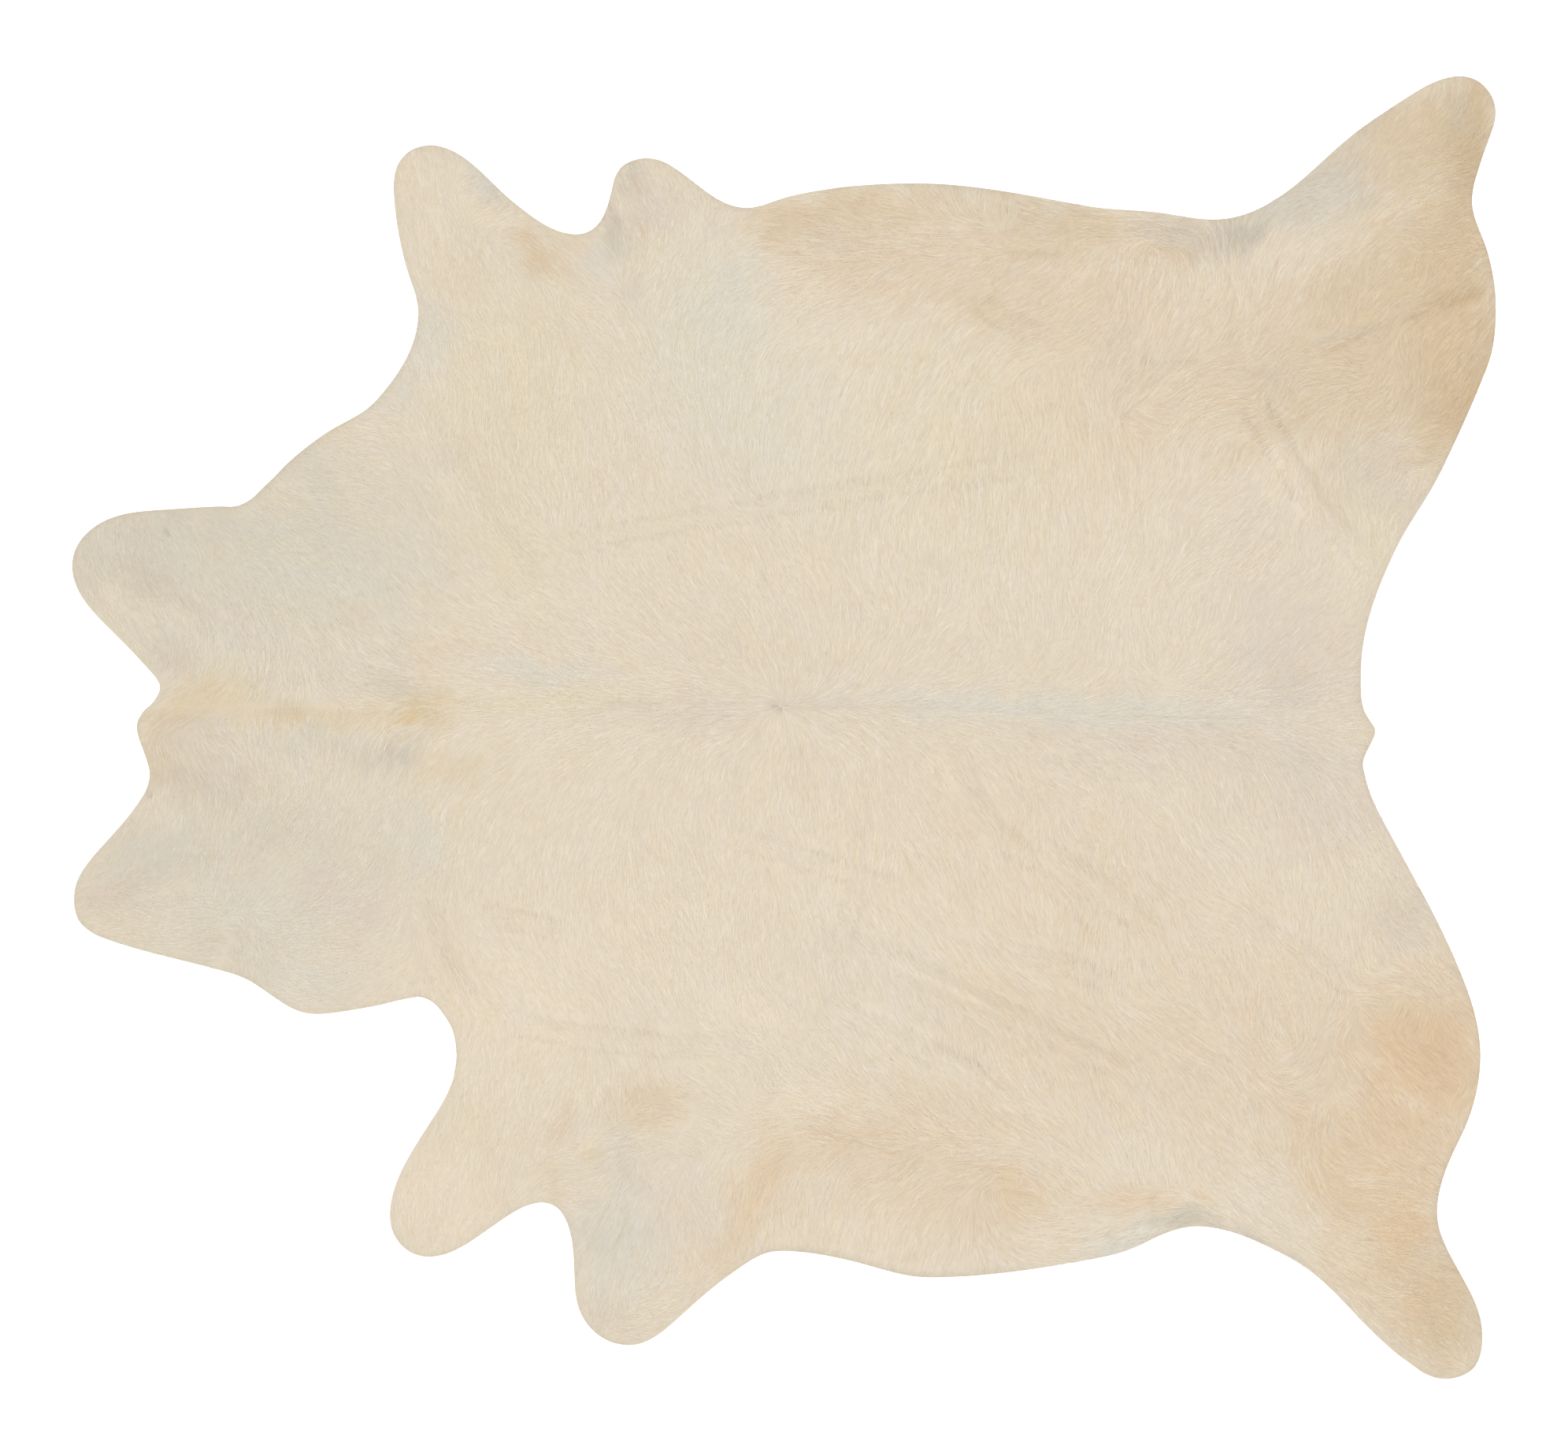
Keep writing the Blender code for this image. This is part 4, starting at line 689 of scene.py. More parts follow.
def beside_arc(places: np.ndarray, start: np.ndarray, end: np.ndarray,
               bow: float) -> tuple[np.ndarray, np.ndarray]:
    """Where places lie beside a shallow arc, and how far its crest has risen there.

    The arc is a parabola between its ends. Its crest is one minus the fourth power of the
    way from its middle, so that it fades out towards both ends.

    Args:
        places: In millimetres on the hide.
        start: Where the arc begins.
        end: Where it ends.
        bow: How far it bulges to the left of the way from start to end.

    Returns:
        Millimetres to the left of the arc, and the crest from 0 to 1.
    """
    length = np.linalg.norm(end - start)
    along = (end - start) / length
    share = (places - start) @ along / length
    aside = (places - start) @ np.array([-along[1], along[0]])
    return aside - bow * 4 * share * (1 - share), np.clip(1 - (2 * share - 1) ** 4, 0.0, None)


@dataclass(frozen=True)
class PhotoFrame:
    """How the photograph's pixels lie on the hide, which it shows from straight above."""

    width: int = 1991
    height: int = 1848
    hide_left: float = 92.0  # px where the outline's box begins and ends
    hide_right: float = 1899.0
    hide_top: float = 97.0
    hide_foot: float = 1751.0
    hide_length: float = 2205.0  # mm of that box along X, set from the frame

    @property
    def scale(self) -> float:
        """Millimetres of hide for each pixel."""
        return self.hide_length / (self.hide_right - self.hide_left)

    def places(self, across: np.ndarray, down: np.ndarray) -> np.ndarray:
        """Turns pixels into places on the hide.

        Args:
            across: Pixels from the left.
            down: Pixels from the top.

        Returns:
            An array of x and y in millimetres from the middle of the hide.
        """
        x = (np.asarray(across, float) - (self.hide_left + self.hide_right) / 2) * self.scale
        y = ((self.hide_top + self.hide_foot) / 2 - np.asarray(down, float)) * self.scale
        return np.stack([x, y], axis=-1)


class Lattice:
    """A square lattice over the hide's box, and values read off it between its points."""

    def __init__(self, low: np.ndarray, high: np.ndarray, pitch: float) -> None:
        """Lays the lattice over the box from low to high, pitch millimetres apart."""
        self.low = np.asarray(low, float)
        self.pitch = pitch
        self.columns, self.rows = (np.ceil((high - self.low) / pitch).astype(int) + 1).tolist()

    @property
    def places(self) -> np.ndarray:
        """Every point of the lattice, row by row."""
        x, y = np.meshgrid(np.arange(self.columns), np.arange(self.rows))
        return self.low + self.pitch * np.stack([x.ravel(), y.ravel()], axis=1)

    def cell(self, places: np.ndarray) -> tuple[np.ndarray, np.ndarray, np.ndarray]:
        """Index of the lattice point below each place, and how far it lies past it."""
        at = (places - self.low) / self.pitch
        column_at = np.clip(at[:, 0].astype(int), 0, self.columns - 2)
        row_at = np.clip(at[:, 1].astype(int), 0, self.rows - 2)
        past = np.clip(at - np.stack([column_at, row_at], axis=1), 0.0, 1.0)
        return row_at * self.columns + column_at, past[:, :1], past[:, 1:]

    def read(self, values: np.ndarray, places: np.ndarray, eased: bool = False) -> np.ndarray:
        """Values between the lattice's points, weighted by how near the four corners are.

        Args:
            values: One row for each point of the lattice.
            places: Where to read, in millimetres.
            eased: Whether the values change slowest at the lattice's points.

        Returns:
            One row for each place.
        """
        index, right, up = self.cell(places)
        if eased:
            right, up = smooth_step(right), smooth_step(up)
        lower = values[index] * (1 - right) + values[index + 1] * right
        above = index + self.columns
        upper = values[above] * (1 - right) + values[above + 1] * right
        return lower * (1 - up) + upper * up


class TrimmedEdge:
    """The hide's cut edge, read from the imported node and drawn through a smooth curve."""

    sample_step: float = 1.0  # mm between the samples that depths are measured to
    map_pitch: float = 4.0  # mm between points of the map of nearest samples
    map_margin: float = 8.0  # mm that the map reaches past the hide's box
    facing_down: float = -0.3  # a face of the underside has a normal whose z is less
    search: tuple[int, ...] = (8, 4, 2, 1)  # samples to look along the edge, halved each time

    def __init__(self, node: bpy.types.Object, box: tuple[Vector, Vector]) -> None:
        """Reads the edge of the node and lays a map of the nearest samples over its box."""
        self.corners = self._rim(node)
        self.samples, self.outward = self.smoothed(self.sample_step)
        low, high = (np.array(corner[:2]) / MM for corner in box)
        self.map = Lattice(low - self.map_margin, high + self.map_margin, self.map_pitch)
        self.nearest = self._nearest_samples()

    def _rim(self, node: bpy.types.Object) -> np.ndarray:
        """Points of the underside's rim in order, anticlockwise.

        The underside's faces look down. An edge that only one of them has is on the rim.
        Each rim point learns how many steps it is from the last one by doubling its reach.

        Args:
            node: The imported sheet, whose triangles share no points.

        Returns:
            The rim's points in millimetres, one row each.
        """
        mesh = node.data
        places = np.empty(len(mesh.vertices) * 3, np.float32)
        mesh.vertices.foreach_get("co", places)
        flat = np.round(places.reshape(-1, 3)[:, :2] / MM, 2)
        flat, index = np.unique(flat, axis=0, return_inverse=True)
        mesh.calc_loop_triangles()
        corners = np.empty(len(mesh.loop_triangles) * 3, np.int32)
        mesh.loop_triangles.foreach_get("vertices", corners)
        facing = np.empty(len(mesh.loop_triangles) * 3, np.float32)
        mesh.loop_triangles.foreach_get("normal", facing)
        below = facing.reshape(-1, 3)[:, 2] < self.facing_down
        faces = index.ravel()[corners].reshape(-1, 3)[below]
        ends = np.concatenate([faces[:, [0, 1]], faces[:, [1, 2]], faces[:, [2, 0]]])
        key = np.sort(ends, axis=1) @ np.array([len(flat), 1])
        _, first, count = np.unique(key, return_index=True, return_counts=True)
        rim = ends[first[count == 1]]
        after = np.full(len(flat), -1)
        after[rim[:, 1]] = rim[:, 0]  # seen from above, the underside's faces run clockwise
        members = rim[:, 0]
        last = members[0]
        steps = np.where(members == last, 0, 1)
        slot_of = np.full(len(flat), -1)
        slot_of[members] = np.arange(len(members))
        ahead = slot_of[after[members]]
        ahead = np.where(members == last, np.arange(len(members)), ahead)
        for _ in range(int(np.ceil(np.log2(len(members)))) + 1):
            steps = steps + steps[ahead]
            ahead = ahead[ahead]
        return flat[members[np.argsort(-steps)]]

    def smoothed(self, step: float) -> tuple[np.ndarray, np.ndarray]:
        """Points of the Catmull-Rom curve through the rim's corners, about step apart.

        Between two corners the curve is a cubic whose direction at each corner is that of
        the line between its two neighbours.

        Args:
            step: Millimetres between points.

        Returns:
            The points and the unit vectors that look outwards there.
        """
        here, there = self.corners, np.roll(self.corners, -1, axis=0)
        leave = (there - np.roll(self.corners, 1, axis=0)) / 2
        arrive = (np.roll(self.corners, -2, axis=0) - here) / 2
        counts = np.maximum(np.round(np.linalg.norm(there - here, axis=1) / step), 1).astype(int)
        span = np.repeat(np.arange(len(here)), counts)
        start = np.cumsum(counts) - counts
        t = ((np.arange(counts.sum()) - start[span]) / counts[span])[:, None]
        points = (
            (2 * t**3 - 3 * t**2 + 1) * here[span]
            + (t**3 - 2 * t**2 + t) * leave[span]
            + (3 * t**2 - 2 * t**3) * there[span]
            + (t**3 - t**2) * arrive[span]
        )
        along = np.roll(points, -1, axis=0) - np.roll(points, 1, axis=0)
        along /= np.linalg.norm(along, axis=1)[:, None]
        return points, np.stack([along[:, 1], -along[:, 0]], axis=1)

    def _nearest_samples(self) -> np.ndarray:
        """For each point of the map, the sample of the edge that is nearest to it.

        Each point takes over its neighbours' nearest sample where that is nearer than its
        own, from far neighbours first to the next ones last.
        """
        places = self.map.places
        shape = (self.map.rows, self.map.columns)
        nearest = np.full(shape[0] * shape[1], -1)
        cells, _, _ = self.map.cell(self.samples)
        nearest[cells] = np.arange(len(self.samples))
        away = np.where(nearest < 0, np.inf, 0.0)
        known = nearest >= 0
        away[known] = np.linalg.norm(places[known] - self.samples[nearest[known]], axis=1)
        stride = 2 ** int(np.ceil(np.log2(max(shape))) - 1)
        rows, columns = np.divmod(np.arange(len(nearest)), shape[1])
        while stride >= 1:
            for down in (-stride, 0, stride):
                for side in (-stride, 0, stride):
                    row = np.clip(rows + down, 0, shape[0] - 1)
                    other = nearest[row * shape[1] + np.clip(columns + side, 0, shape[1] - 1)]
                    reach = np.linalg.norm(places - self.samples[other], axis=1)
                    better = (other >= 0) & (reach < away)
                    nearest = np.where(better, other, nearest)
                    away = np.where(better, reach, away)
            stride //= 2
        return nearest

    @property
    def area(self) -> float:
        """Area within the cut in square millimetres: half the sum of the cross products."""
        here, ahead = self.samples, np.roll(self.samples, -1, axis=0)
        return abs((here[:, 0] * ahead[:, 1] - here[:, 1] * ahead[:, 0]).sum()) / 2

    def depth(self, places: np.ndarray) -> np.ndarray:
        """How far each place lies inside the cut, in millimetres, negative outside."""
        index, _, _ = self.map.cell(places)
        best = self.nearest[index]
        away = np.linalg.norm(places - self.samples[best], axis=1)
        for reach in self.search:
            for step in (-reach, reach):
                other = (best + step) % len(self.samples)
                distance = np.linalg.norm(places - self.samples[other], axis=1)
                nearer = distance < away
                best = np.where(nearer, other, best)
                away = np.where(nearer, distance, away)
        beyond = ((places - self.samples[best]) * self.outward[best]).sum(axis=1)
        return np.where(beyond > 0, -away, away)


@dataclass
class Relief:
    """Heights of the sheet and depth of the coat in millimetres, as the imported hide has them."""

    edge: TrimmedEdge
    leather: float = 2.4
    coat_at_cut: float = 1.0
    coat_on_limbs: float = 2.4
    coat_on_back: float = 4.0
    ripple: float = 0.5
    # Length of the ripple each way, how far it bends, and over what length
    along_x: tuple[float, float, float] = (61.0, 1.3, 97.0)
    along_y: tuple[float, float, float] = (53.0, 1.1, 83.0)
    edge_band: float = 24.0
    deep_inside: float = 300.0
    heights: np.ndarray = field(init=False, repr=False)

    def __post_init__(self) -> None:
        """Works out the lift once, on the map's lattice."""
        self.heights = self._lift(self.edge.map.places)[:, None]

    @staticmethod
    def _lift(places: np.ndarray) -> np.ndarray:
        """Height of the sheet's underside over the floor.

        Each fold is a ridge along a shallow arc, and its side is one minus the square of
        the way from the crest, squared. Where folds cross, the squares of their heights
        add up.
        """
        squares = np.zeros(len(places))
        for fold in FOLDS:
            start = np.array([fold.start_x, fold.start_y])
            end = np.array([fold.end_x, fold.end_y])
            aside, crest = beside_arc(places, start, end, fold.bow)
            slope = np.clip(1 - (aside / fold.half_width) ** 2, 0.0, None) ** 2
            squares += (fold.height * crest * slope) ** 2
        return np.sqrt(squares)

    def lift(self, places: np.ndarray) -> np.ndarray:
        """Height of the underside over the floor at any place, in millimetres."""
        return self.edge.map.read(self.heights, places)[:, 0]

    def coat(self, places: np.ndarray, depth: np.ndarray) -> np.ndarray:
        """Depth of the lying hair: short at the cut, full on the back, with a slow ripple."""
        x, y = places.T
        back = self.coat_on_back - self.coat_on_limbs
        full = self.coat_on_limbs + back * smooth_step(depth / self.deep_inside)
        wander = 1.0
        for way, other, wave in ((x, y, self.along_x), (y, x, self.along_y)):
            length, bend, bend_length = wave
            wander = wander * np.sin(way / length + bend * np.sin(other / bend_length))
        grown = smooth_step(depth / self.edge_band)
        return self.coat_at_cut + (full + self.ripple * wander - self.coat_at_cut) * grown


class Unevenness:
    """Smooth seeded noise over the hide, between about -1 and 1."""

    def __init__(self, edge: TrimmedEdge, pitch: float, seed: int) -> None:
        """Draws one number for each point of a lattice."""
        self.lattice = Lattice(edge.map.low, edge.map.places[-1], pitch)
        count = self.lattice.rows * self.lattice.columns
        self.values = np.random.default_rng(seed).uniform(-1.0, 1.0, (count, 1))

    def at(self, places: np.ndarray) -> np.ndarray:
        """The noise at each place, eased between the lattice's points."""
        return self.lattice.read(self.values, places, eased=True)[:, 0]


class CombField:
    """The lie, the length and the colour of the hair anywhere on the hide."""

    lattice_pitch: float = 9.0
    batches: int = 32  # in which the lattice is worked through, to spare memory
    guide_reach: float = 16.0  # mm within which one reading alone decides
    growth_reach: float = 120.0
    slant: float = 0.35  # how much of a lock's way along the spine tells its root from its tip
    turn_over: float = 30.0  # mm past the back whorl over which that way turns round
    pull: float = 3.0  # how strongly the way out of a whorl counts at its centre
    patch_core: float = 0.1  # share of a patch's radius in which it does not fade
    waves: float = 9.0  # degrees that full-length hair turns from the readings, back and forth
    full_length: float = 28.0  # mm of hair that turns by the whole of the waves
    share_range: tuple[float, float] = (0.4, 1.3)  # of them, for the shortest hair and longest
    wander: float = 15.0  # mm by which the outline of a large patch strays
    large: float = 40.0  # mm, from where on a patch's half width counts as large
    rim: float = 0.06  # share by which the coat is darker right at the cut
    rim_width: float = 16.0  # mm over which it is
    crease_shade_tint: tuple[float, ...] = (0.45, 0.62, 0.9)  # of a crease's painted shade, by red, green, blue
    crease_highlight_tint: tuple[float, ...] = (0.8, 1.0, 1.3)  # the same of a crease's painted highlight
    mottle: tuple[float, ...] = (0.006, 0.0, -0.017)  # how far the coat's colour drifts
    cloudy: tuple[float, ...] = (0.008, 0.013, 0.019)  # how far it lightens, and so pales
    sway_noise: tuple[float, int] = (26.0, 9)  # pitch in mm and seed, for the waves
    stray_noises: tuple[tuple[float, int], ...] = ((34.0, 21), (34.0, 22))  # for the outlines
    drift_noise: tuple[float, int] = (22.0, 23)  # for the mottle
    cloud_noise: tuple[float, int] = (36.0, 24)  # for the paler clouds

    def __init__(self, photo: PhotoFrame, edge: TrimmedEdge) -> None:
        """Spreads the tables' readings over a lattice."""
        self.photo = photo
        self.edge = edge
        low, high = edge.map.low, edge.map.places[-1]
        self.lattice = Lattice(low, high, self.lattice_pitch)
        double = np.radians(2 * column(COMB, "lean"))
        self.lies = self._spread(COMB, np.stack([np.cos(double), np.sin(double)], axis=1),
                                 self.guide_reach)
        sizes = np.stack([column(GROWTHS, name) for name in Growth._fields[2:]], axis=1)
        self.sizes = self._spread(GROWTHS, sizes, self.growth_reach)
        self.sway = Unevenness(edge, *self.sway_noise)
        self.astray = tuple(Unevenness(edge, *noise) for noise in self.stray_noises)
        self.drift = Unevenness(edge, *self.drift_noise)
        self.cloud = Unevenness(edge, *self.cloud_noise)

    def _spread(self, rows: tuple, values: np.ndarray, reach: float) -> np.ndarray:
        """Mean of the rows' values at each lattice point, the nearest counting most.

        A row's weight is one over the square of its squared distance plus reach squared.
        """
        anchors = self.photo.places(column(rows, "across"), column(rows, "down"))
        found = []
        for places in np.array_split(self.lattice.places, self.batches):
            apart = ((places[:, None, :] - anchors[None, :, :]) ** 2).sum(axis=2)
            weight = 1.0 / (apart + reach**2) ** 2
            found.append(weight @ values / weight.sum(axis=1)[:, None])
        return np.concatenate(found)

    def direction(self, places: np.ndarray) -> np.ndarray:
        """Unit vectors along the hair, from root to tip.

        Lines without a sense are averaged as twice their angle. Whorls then take over
        near their centres. Hair runs away from the spine, and out of a whorl, and then
        turns in slow waves, the longer it is the more.
        """
        lies = self.lattice.read(self.lies, places)
        lies = lies / np.maximum(np.linalg.norm(lies, axis=1), 1e-6)[:, None]
        centre = self.photo.places(SPINE_WHORL.across, SPINE_WHORL.down)
        away = places - centre
        sense = np.stack([
            self.slant * np.tanh(away[:, 0] / self.turn_over),
            np.where(away[:, 1] > 0, 1.0, -1.0),
        ], axis=1)
        for whorl in WHORLS:
            out = places - self.photo.places(whorl.across, whorl.down)
            squeezed = out * np.array([1.0, whorl.flatten])
            reach = whorl.reach * self.photo.scale
            hold = whorl.hold * np.exp(-((squeezed**2).sum(axis=1) / reach**2))
            angle = np.arctan2(squeezed[:, 1], squeezed[:, 0]) + math.radians(whorl.swirl)
            way = np.stack([np.cos(angle) * whorl.flatten, np.sin(angle)], axis=1)
            angle = np.arctan2(way[:, 1], way[:, 0])
            own = np.stack([np.cos(2 * angle), np.sin(2 * angle)], axis=1)
            lies = lies * (1 - hold)[:, None] + own * hold[:, None]
            sense = sense * (1 - hold)[:, None] + way * (self.pull * hold)[:, None]
        angle = np.arctan2(lies[:, 1], lies[:, 0]) / 2
        found = np.stack([np.cos(angle), np.sin(angle)], axis=1)
        found = np.where((found * sense).sum(axis=1)[:, None] < 0, -found, found)
        longer = np.clip(self.growth(places)[0] / self.full_length, *self.share_range)
        return turned(found, np.radians(self.waves * longer * self.sway.at(places)))

    def growth(self, places: np.ndarray) -> tuple[np.ndarray, ...]:
        """Length and width of a lock at each place, in millimetres, and how marked it is."""
        return tuple(self.lattice.read(self.sizes, places).T)

    def tones(self, places: np.ndarray, shift: np.ndarray | float = 0.0) -> np.ndarray:
        """Colour of the hair at each place, linear.

        The base is cream. Each patch is laid over what is there, with a share that holds
        in its core and then fades with the way from its middle to its rim. Its outline
        strays with a slow noise, a small patch's less. A crease line then darkens the hair
        by its depth times its crest, eased off to its sides, as painted shade along folds,
        partings and clumps, or lightens it as a painted highlight where its depth is
        negative. The coat darkens towards the cut, and all of it drifts a little between
        yellower and bluer, and between darker and paler.

        Args:
            places: Where the hair is, in millimetres.
            shift: How far off the root is whose patches it wears.

        Returns:
            One colour for each place.
        """
        colour = np.tile(linear(Tone.CREAM.value), (len(places), 1))
        noise = np.stack([axis.at(places) for axis in self.astray], axis=1)
        stray = self.wander * noise + shift
        for patch in PATCHES:
            centre = self.photo.places(patch.across, patch.down)
            loose = min(1.0, min(patch.wide, patch.high) * self.photo.scale / self.large)
            reach = max(patch.wide, patch.high) * self.photo.scale + 2 * self.wander * loose
            near = np.flatnonzero(np.abs(places - centre).max(axis=1) < reach)
            turn = math.radians(patch.turn)
            out = (places[near] + loose * stray[near] - centre) / self.photo.scale
            along = out @ np.array([math.cos(turn), math.sin(turn)]) / patch.wide
            aside = out @ np.array([-math.sin(turn), math.cos(turn)]) / patch.high
            fade = (1.0 - np.hypot(along, aside)) / (1.0 - self.patch_core)
            share = patch.share * smooth_step(fade)
            colour[near] += share[:, None] * (linear(patch.tone.value) - colour[near])
        # Painted shade along folds, partings and clumps of the hair, and painted highlights where
        # the depth is negative
        for painted_crease in CREASE_LIGHT_AND_SHADE:
            start = self.photo.places(painted_crease.start_across, painted_crease.start_down)
            end = self.photo.places(painted_crease.end_across, painted_crease.end_down)
            half = painted_crease.half_width * self.photo.scale
            bow = painted_crease.bow * self.photo.scale
            reach = np.linalg.norm(end - start) / 2 + half + abs(bow)
            near = np.flatnonzero(np.abs(places - (start + end) / 2).max(axis=1) < reach)
            aside, crest = beside_arc(places[near], start, end, bow)
            depth = painted_crease.depth * crest * smooth_step(1 - np.abs(aside) / half)
            colour[near] *= 1 - np.outer(depth, self.crease_shade_tint if painted_crease.depth > 0 else self.crease_highlight_tint)
        near_cut = smooth_step(1 - self.edge.depth(places) / self.rim_width)
        colour *= 1 - self.rim * near_cut[:, None]
        colour *= 1 + np.outer(self.drift.at(places), self.mottle)
        return colour * (1 + np.outer(self.cloud.at(places), self.cloudy))


class Streaks:
    """Streaks that run with the hair, about -2 to 2: noise averaged along the comb.

    There are two sets of them over one another, one for lightness and one for warmth.
    """

    def __init__(self, edge: TrimmedEdge, comb: CombField, pitch: float, stride: float,
                 strides: int, seed: int) -> None:
        """Draws the noise and averages it along the hair.

        Args:
            edge: The hide's edge, whose box the streaks fill.
            comb: Gives the way along which they run.
            pitch: How wide a streak is, in millimetres.
            stride: Millimetres between two readings of the noise.
            strides: How many readings there are on either side of a place.
            seed: Of the noise.
        """
        self.lattice = Lattice(edge.map.low, edge.map.places[-1], pitch)
        start = self.lattice.places
        drawn = np.random.default_rng(seed).normal(size=(len(start), 2))
        total = drawn.copy()
        for sense in (-stride, stride):
            places, heading = start, comb.direction(start)
            for _ in range(strides):
                places = places + sense * heading
                total += self.lattice.read(drawn, places)
                way = comb.direction(places)
                back = (way * heading).sum(axis=1)[:, None] < 0
                heading = np.where(back, -way, way)
        self.values = total / total.std()

    def at(self, places: np.ndarray) -> np.ndarray:
        """How light and how warm the streaks at each place are, in two columns."""
        return self.lattice.read(self.values, places)


def add_node(tree: bpy.types.NodeTree, kind: str, settings: dict[str, Any] | None = None,
             links: dict[str, Any] | None = None) -> bpy.types.Node:
    """Adds one shader node.

    Args:
        tree: The material's node tree.
        kind: The node's type, without ShaderNode in front.
        settings: Values of its properties and its input sockets, by name.
        links: Output sockets to join to its inputs, by the input's name.

    Returns:
        The node.
    """
    node = tree.nodes.new("ShaderNode" + kind)
    for name, value in (settings or {}).items():
        if name in node.inputs:
            node.inputs[name].default_value = value
        else:
            setattr(node, name, value)
    for name, socket in (links or {}).items():
        tree.links.new(socket, node.inputs[name])
    return node


def new_material(name: str, **sockets: Any) -> tuple[bpy.types.Material, bpy.types.Node]:
    """A material with one Principled shader, and that shader.

    Args:
        name: What the finish is called.
        **sockets: Values of the shader's sockets, with underscores for spaces.

    Returns:
        The material and its shader node.
    """
    material = bpy.data.materials.new(name)
    material.use_nodes = True
    shader = material.node_tree.nodes["Principled BSDF"]
    for socket, value in sockets.items():
        shader.inputs[socket.replace("_", " ")].default_value = value
    return material, shader


@dataclass(frozen=True)
class CreamHair:
    """Cattle hair, washed and dried: smooth strands, so each lock has a soft broad shine."""

    roughness: float = 0.62
    ior: float = 1.55  # keratin
    specular: float = 0.32
    sheen: float = 0.12
    sheen_roughness: float = 0.5

    def material(self) -> bpy.types.Material:
        """Colour comes from each lock's own tone."""
        made, shader = new_material(
            "cream hair", Roughness=self.roughness, IOR=self.ior,
            Specular_IOR_Level=self.specular, Sheen_Weight=self.sheen,
            Sheen_Roughness=self.sheen_roughness,
        )
        tree = made.node_tree
        tone = add_node(tree, "Attribute", {"attribute_name": TONE})
        tree.links.new(tone.outputs["Color"], shader.inputs["Base Color"])
        return made


@dataclass(frozen=True)
class Undercoat:
    """Short hair close to the skin, seen only between the locks: matt, and a little darker as
    painted shade under the locks.
    """

    roughness: float = 0.85
    specular: float = 0.2
    grain: float = 1.6  # mm, drawn coarser than real down so that it shows
    depth: float = 0.15  # mm
    darkest: float = 0.97  # share of the hide's tone
    lightest: float = 1.01

    def material(self) -> bpy.types.Material:
        """The hide's tone, mottled and ruffled by a noise as fine as down."""
        made, shader = new_material("undercoat", Roughness=self.roughness,
                                    Specular_IOR_Level=self.specular)
        tree = made.node_tree
        tone = add_node(tree, "Attribute", {"attribute_name": TONE})
        place = add_node(tree, "TexCoord")
        noise = add_node(tree, "TexNoise", {"Scale": 1 / (self.grain * MM), "Detail": 3.0},
                         {"Vector": place.outputs["Object"]})
        shade = add_node(tree, "MapRange", {"To Min": self.darkest, "To Max": self.lightest},
                         {"Value": noise.outputs["Fac"]})
        mixed = add_node(tree, "VectorMath", {"operation": "SCALE"},
                         {"Vector": tone.outputs["Color"], "Scale": shade.outputs["Result"]})
        bump = add_node(tree, "Bump", {"Distance": self.depth * MM},
                        {"Height": noise.outputs["Fac"]})
        tree.links.new(mixed.outputs["Vector"], shader.inputs["Base Color"])
        tree.links.new(bump.outputs["Normal"], shader.inputs["Normal"])
        return made


@dataclass(frozen=True)
class FleshSuede:
    """Tanned and buffed flesh side: a pale grey-beige nap with scattered darker fibres."""

    colour: str = "#CDC3B1"
    dark: str = "#B3A690"
    roughness: float = 0.92
    specular: float = 0.2
    sheen: float = 0.25
    nap: float = 2.5  # mm, drawn coarser than real nap so that it shows
    cloud: float = 90.0  # mm between paler and darker areas
    dark_at: float = 0.12  # value of both noises together at which it is darkest
    pale_at: float = 0.42
    height: float = 0.4  # mm that the nap stands up

    def material(self) -> bpy.types.Material:
        """Two noises, one as fine as the nap and one as broad as the buffing."""
        made, shader = new_material("flesh side suede", Roughness=self.roughness,
                                    Specular_IOR_Level=self.specular, Sheen_Weight=self.sheen)
        tree = made.node_tree
        place = add_node(tree, "TexCoord")
        nap = add_node(tree, "TexNoise", {"Scale": 1 / (self.nap * MM), "Detail": 5.0},
                       {"Vector": place.outputs["Object"]})
        cloud = add_node(tree, "TexNoise", {"Scale": 1 / (self.cloud * MM), "Detail": 3.0},
                         {"Vector": place.outputs["Object"]})
        both = add_node(tree, "Math", {"operation": "MULTIPLY"})
        tree.links.new(nap.outputs["Fac"], both.inputs[0])
        tree.links.new(cloud.outputs["Fac"], both.inputs[1])
        ramp = add_node(tree, "ValToRGB", links={"Fac": both.outputs["Value"]})
        ramp.color_ramp.elements[0].position = self.dark_at
        ramp.color_ramp.elements[1].position = self.pale_at
        ramp.color_ramp.elements[0].color = (*linear(self.dark), 1.0)
        ramp.color_ramp.elements[1].color = (*linear(self.colour), 1.0)
        bump = add_node(tree, "Bump", {"Distance": self.height * MM},
                        {"Height": nap.outputs["Fac"]})
        tree.links.new(ramp.outputs["Color"], shader.inputs["Base Color"])
        tree.links.new(bump.outputs["Normal"], shader.inputs["Normal"])
        return made


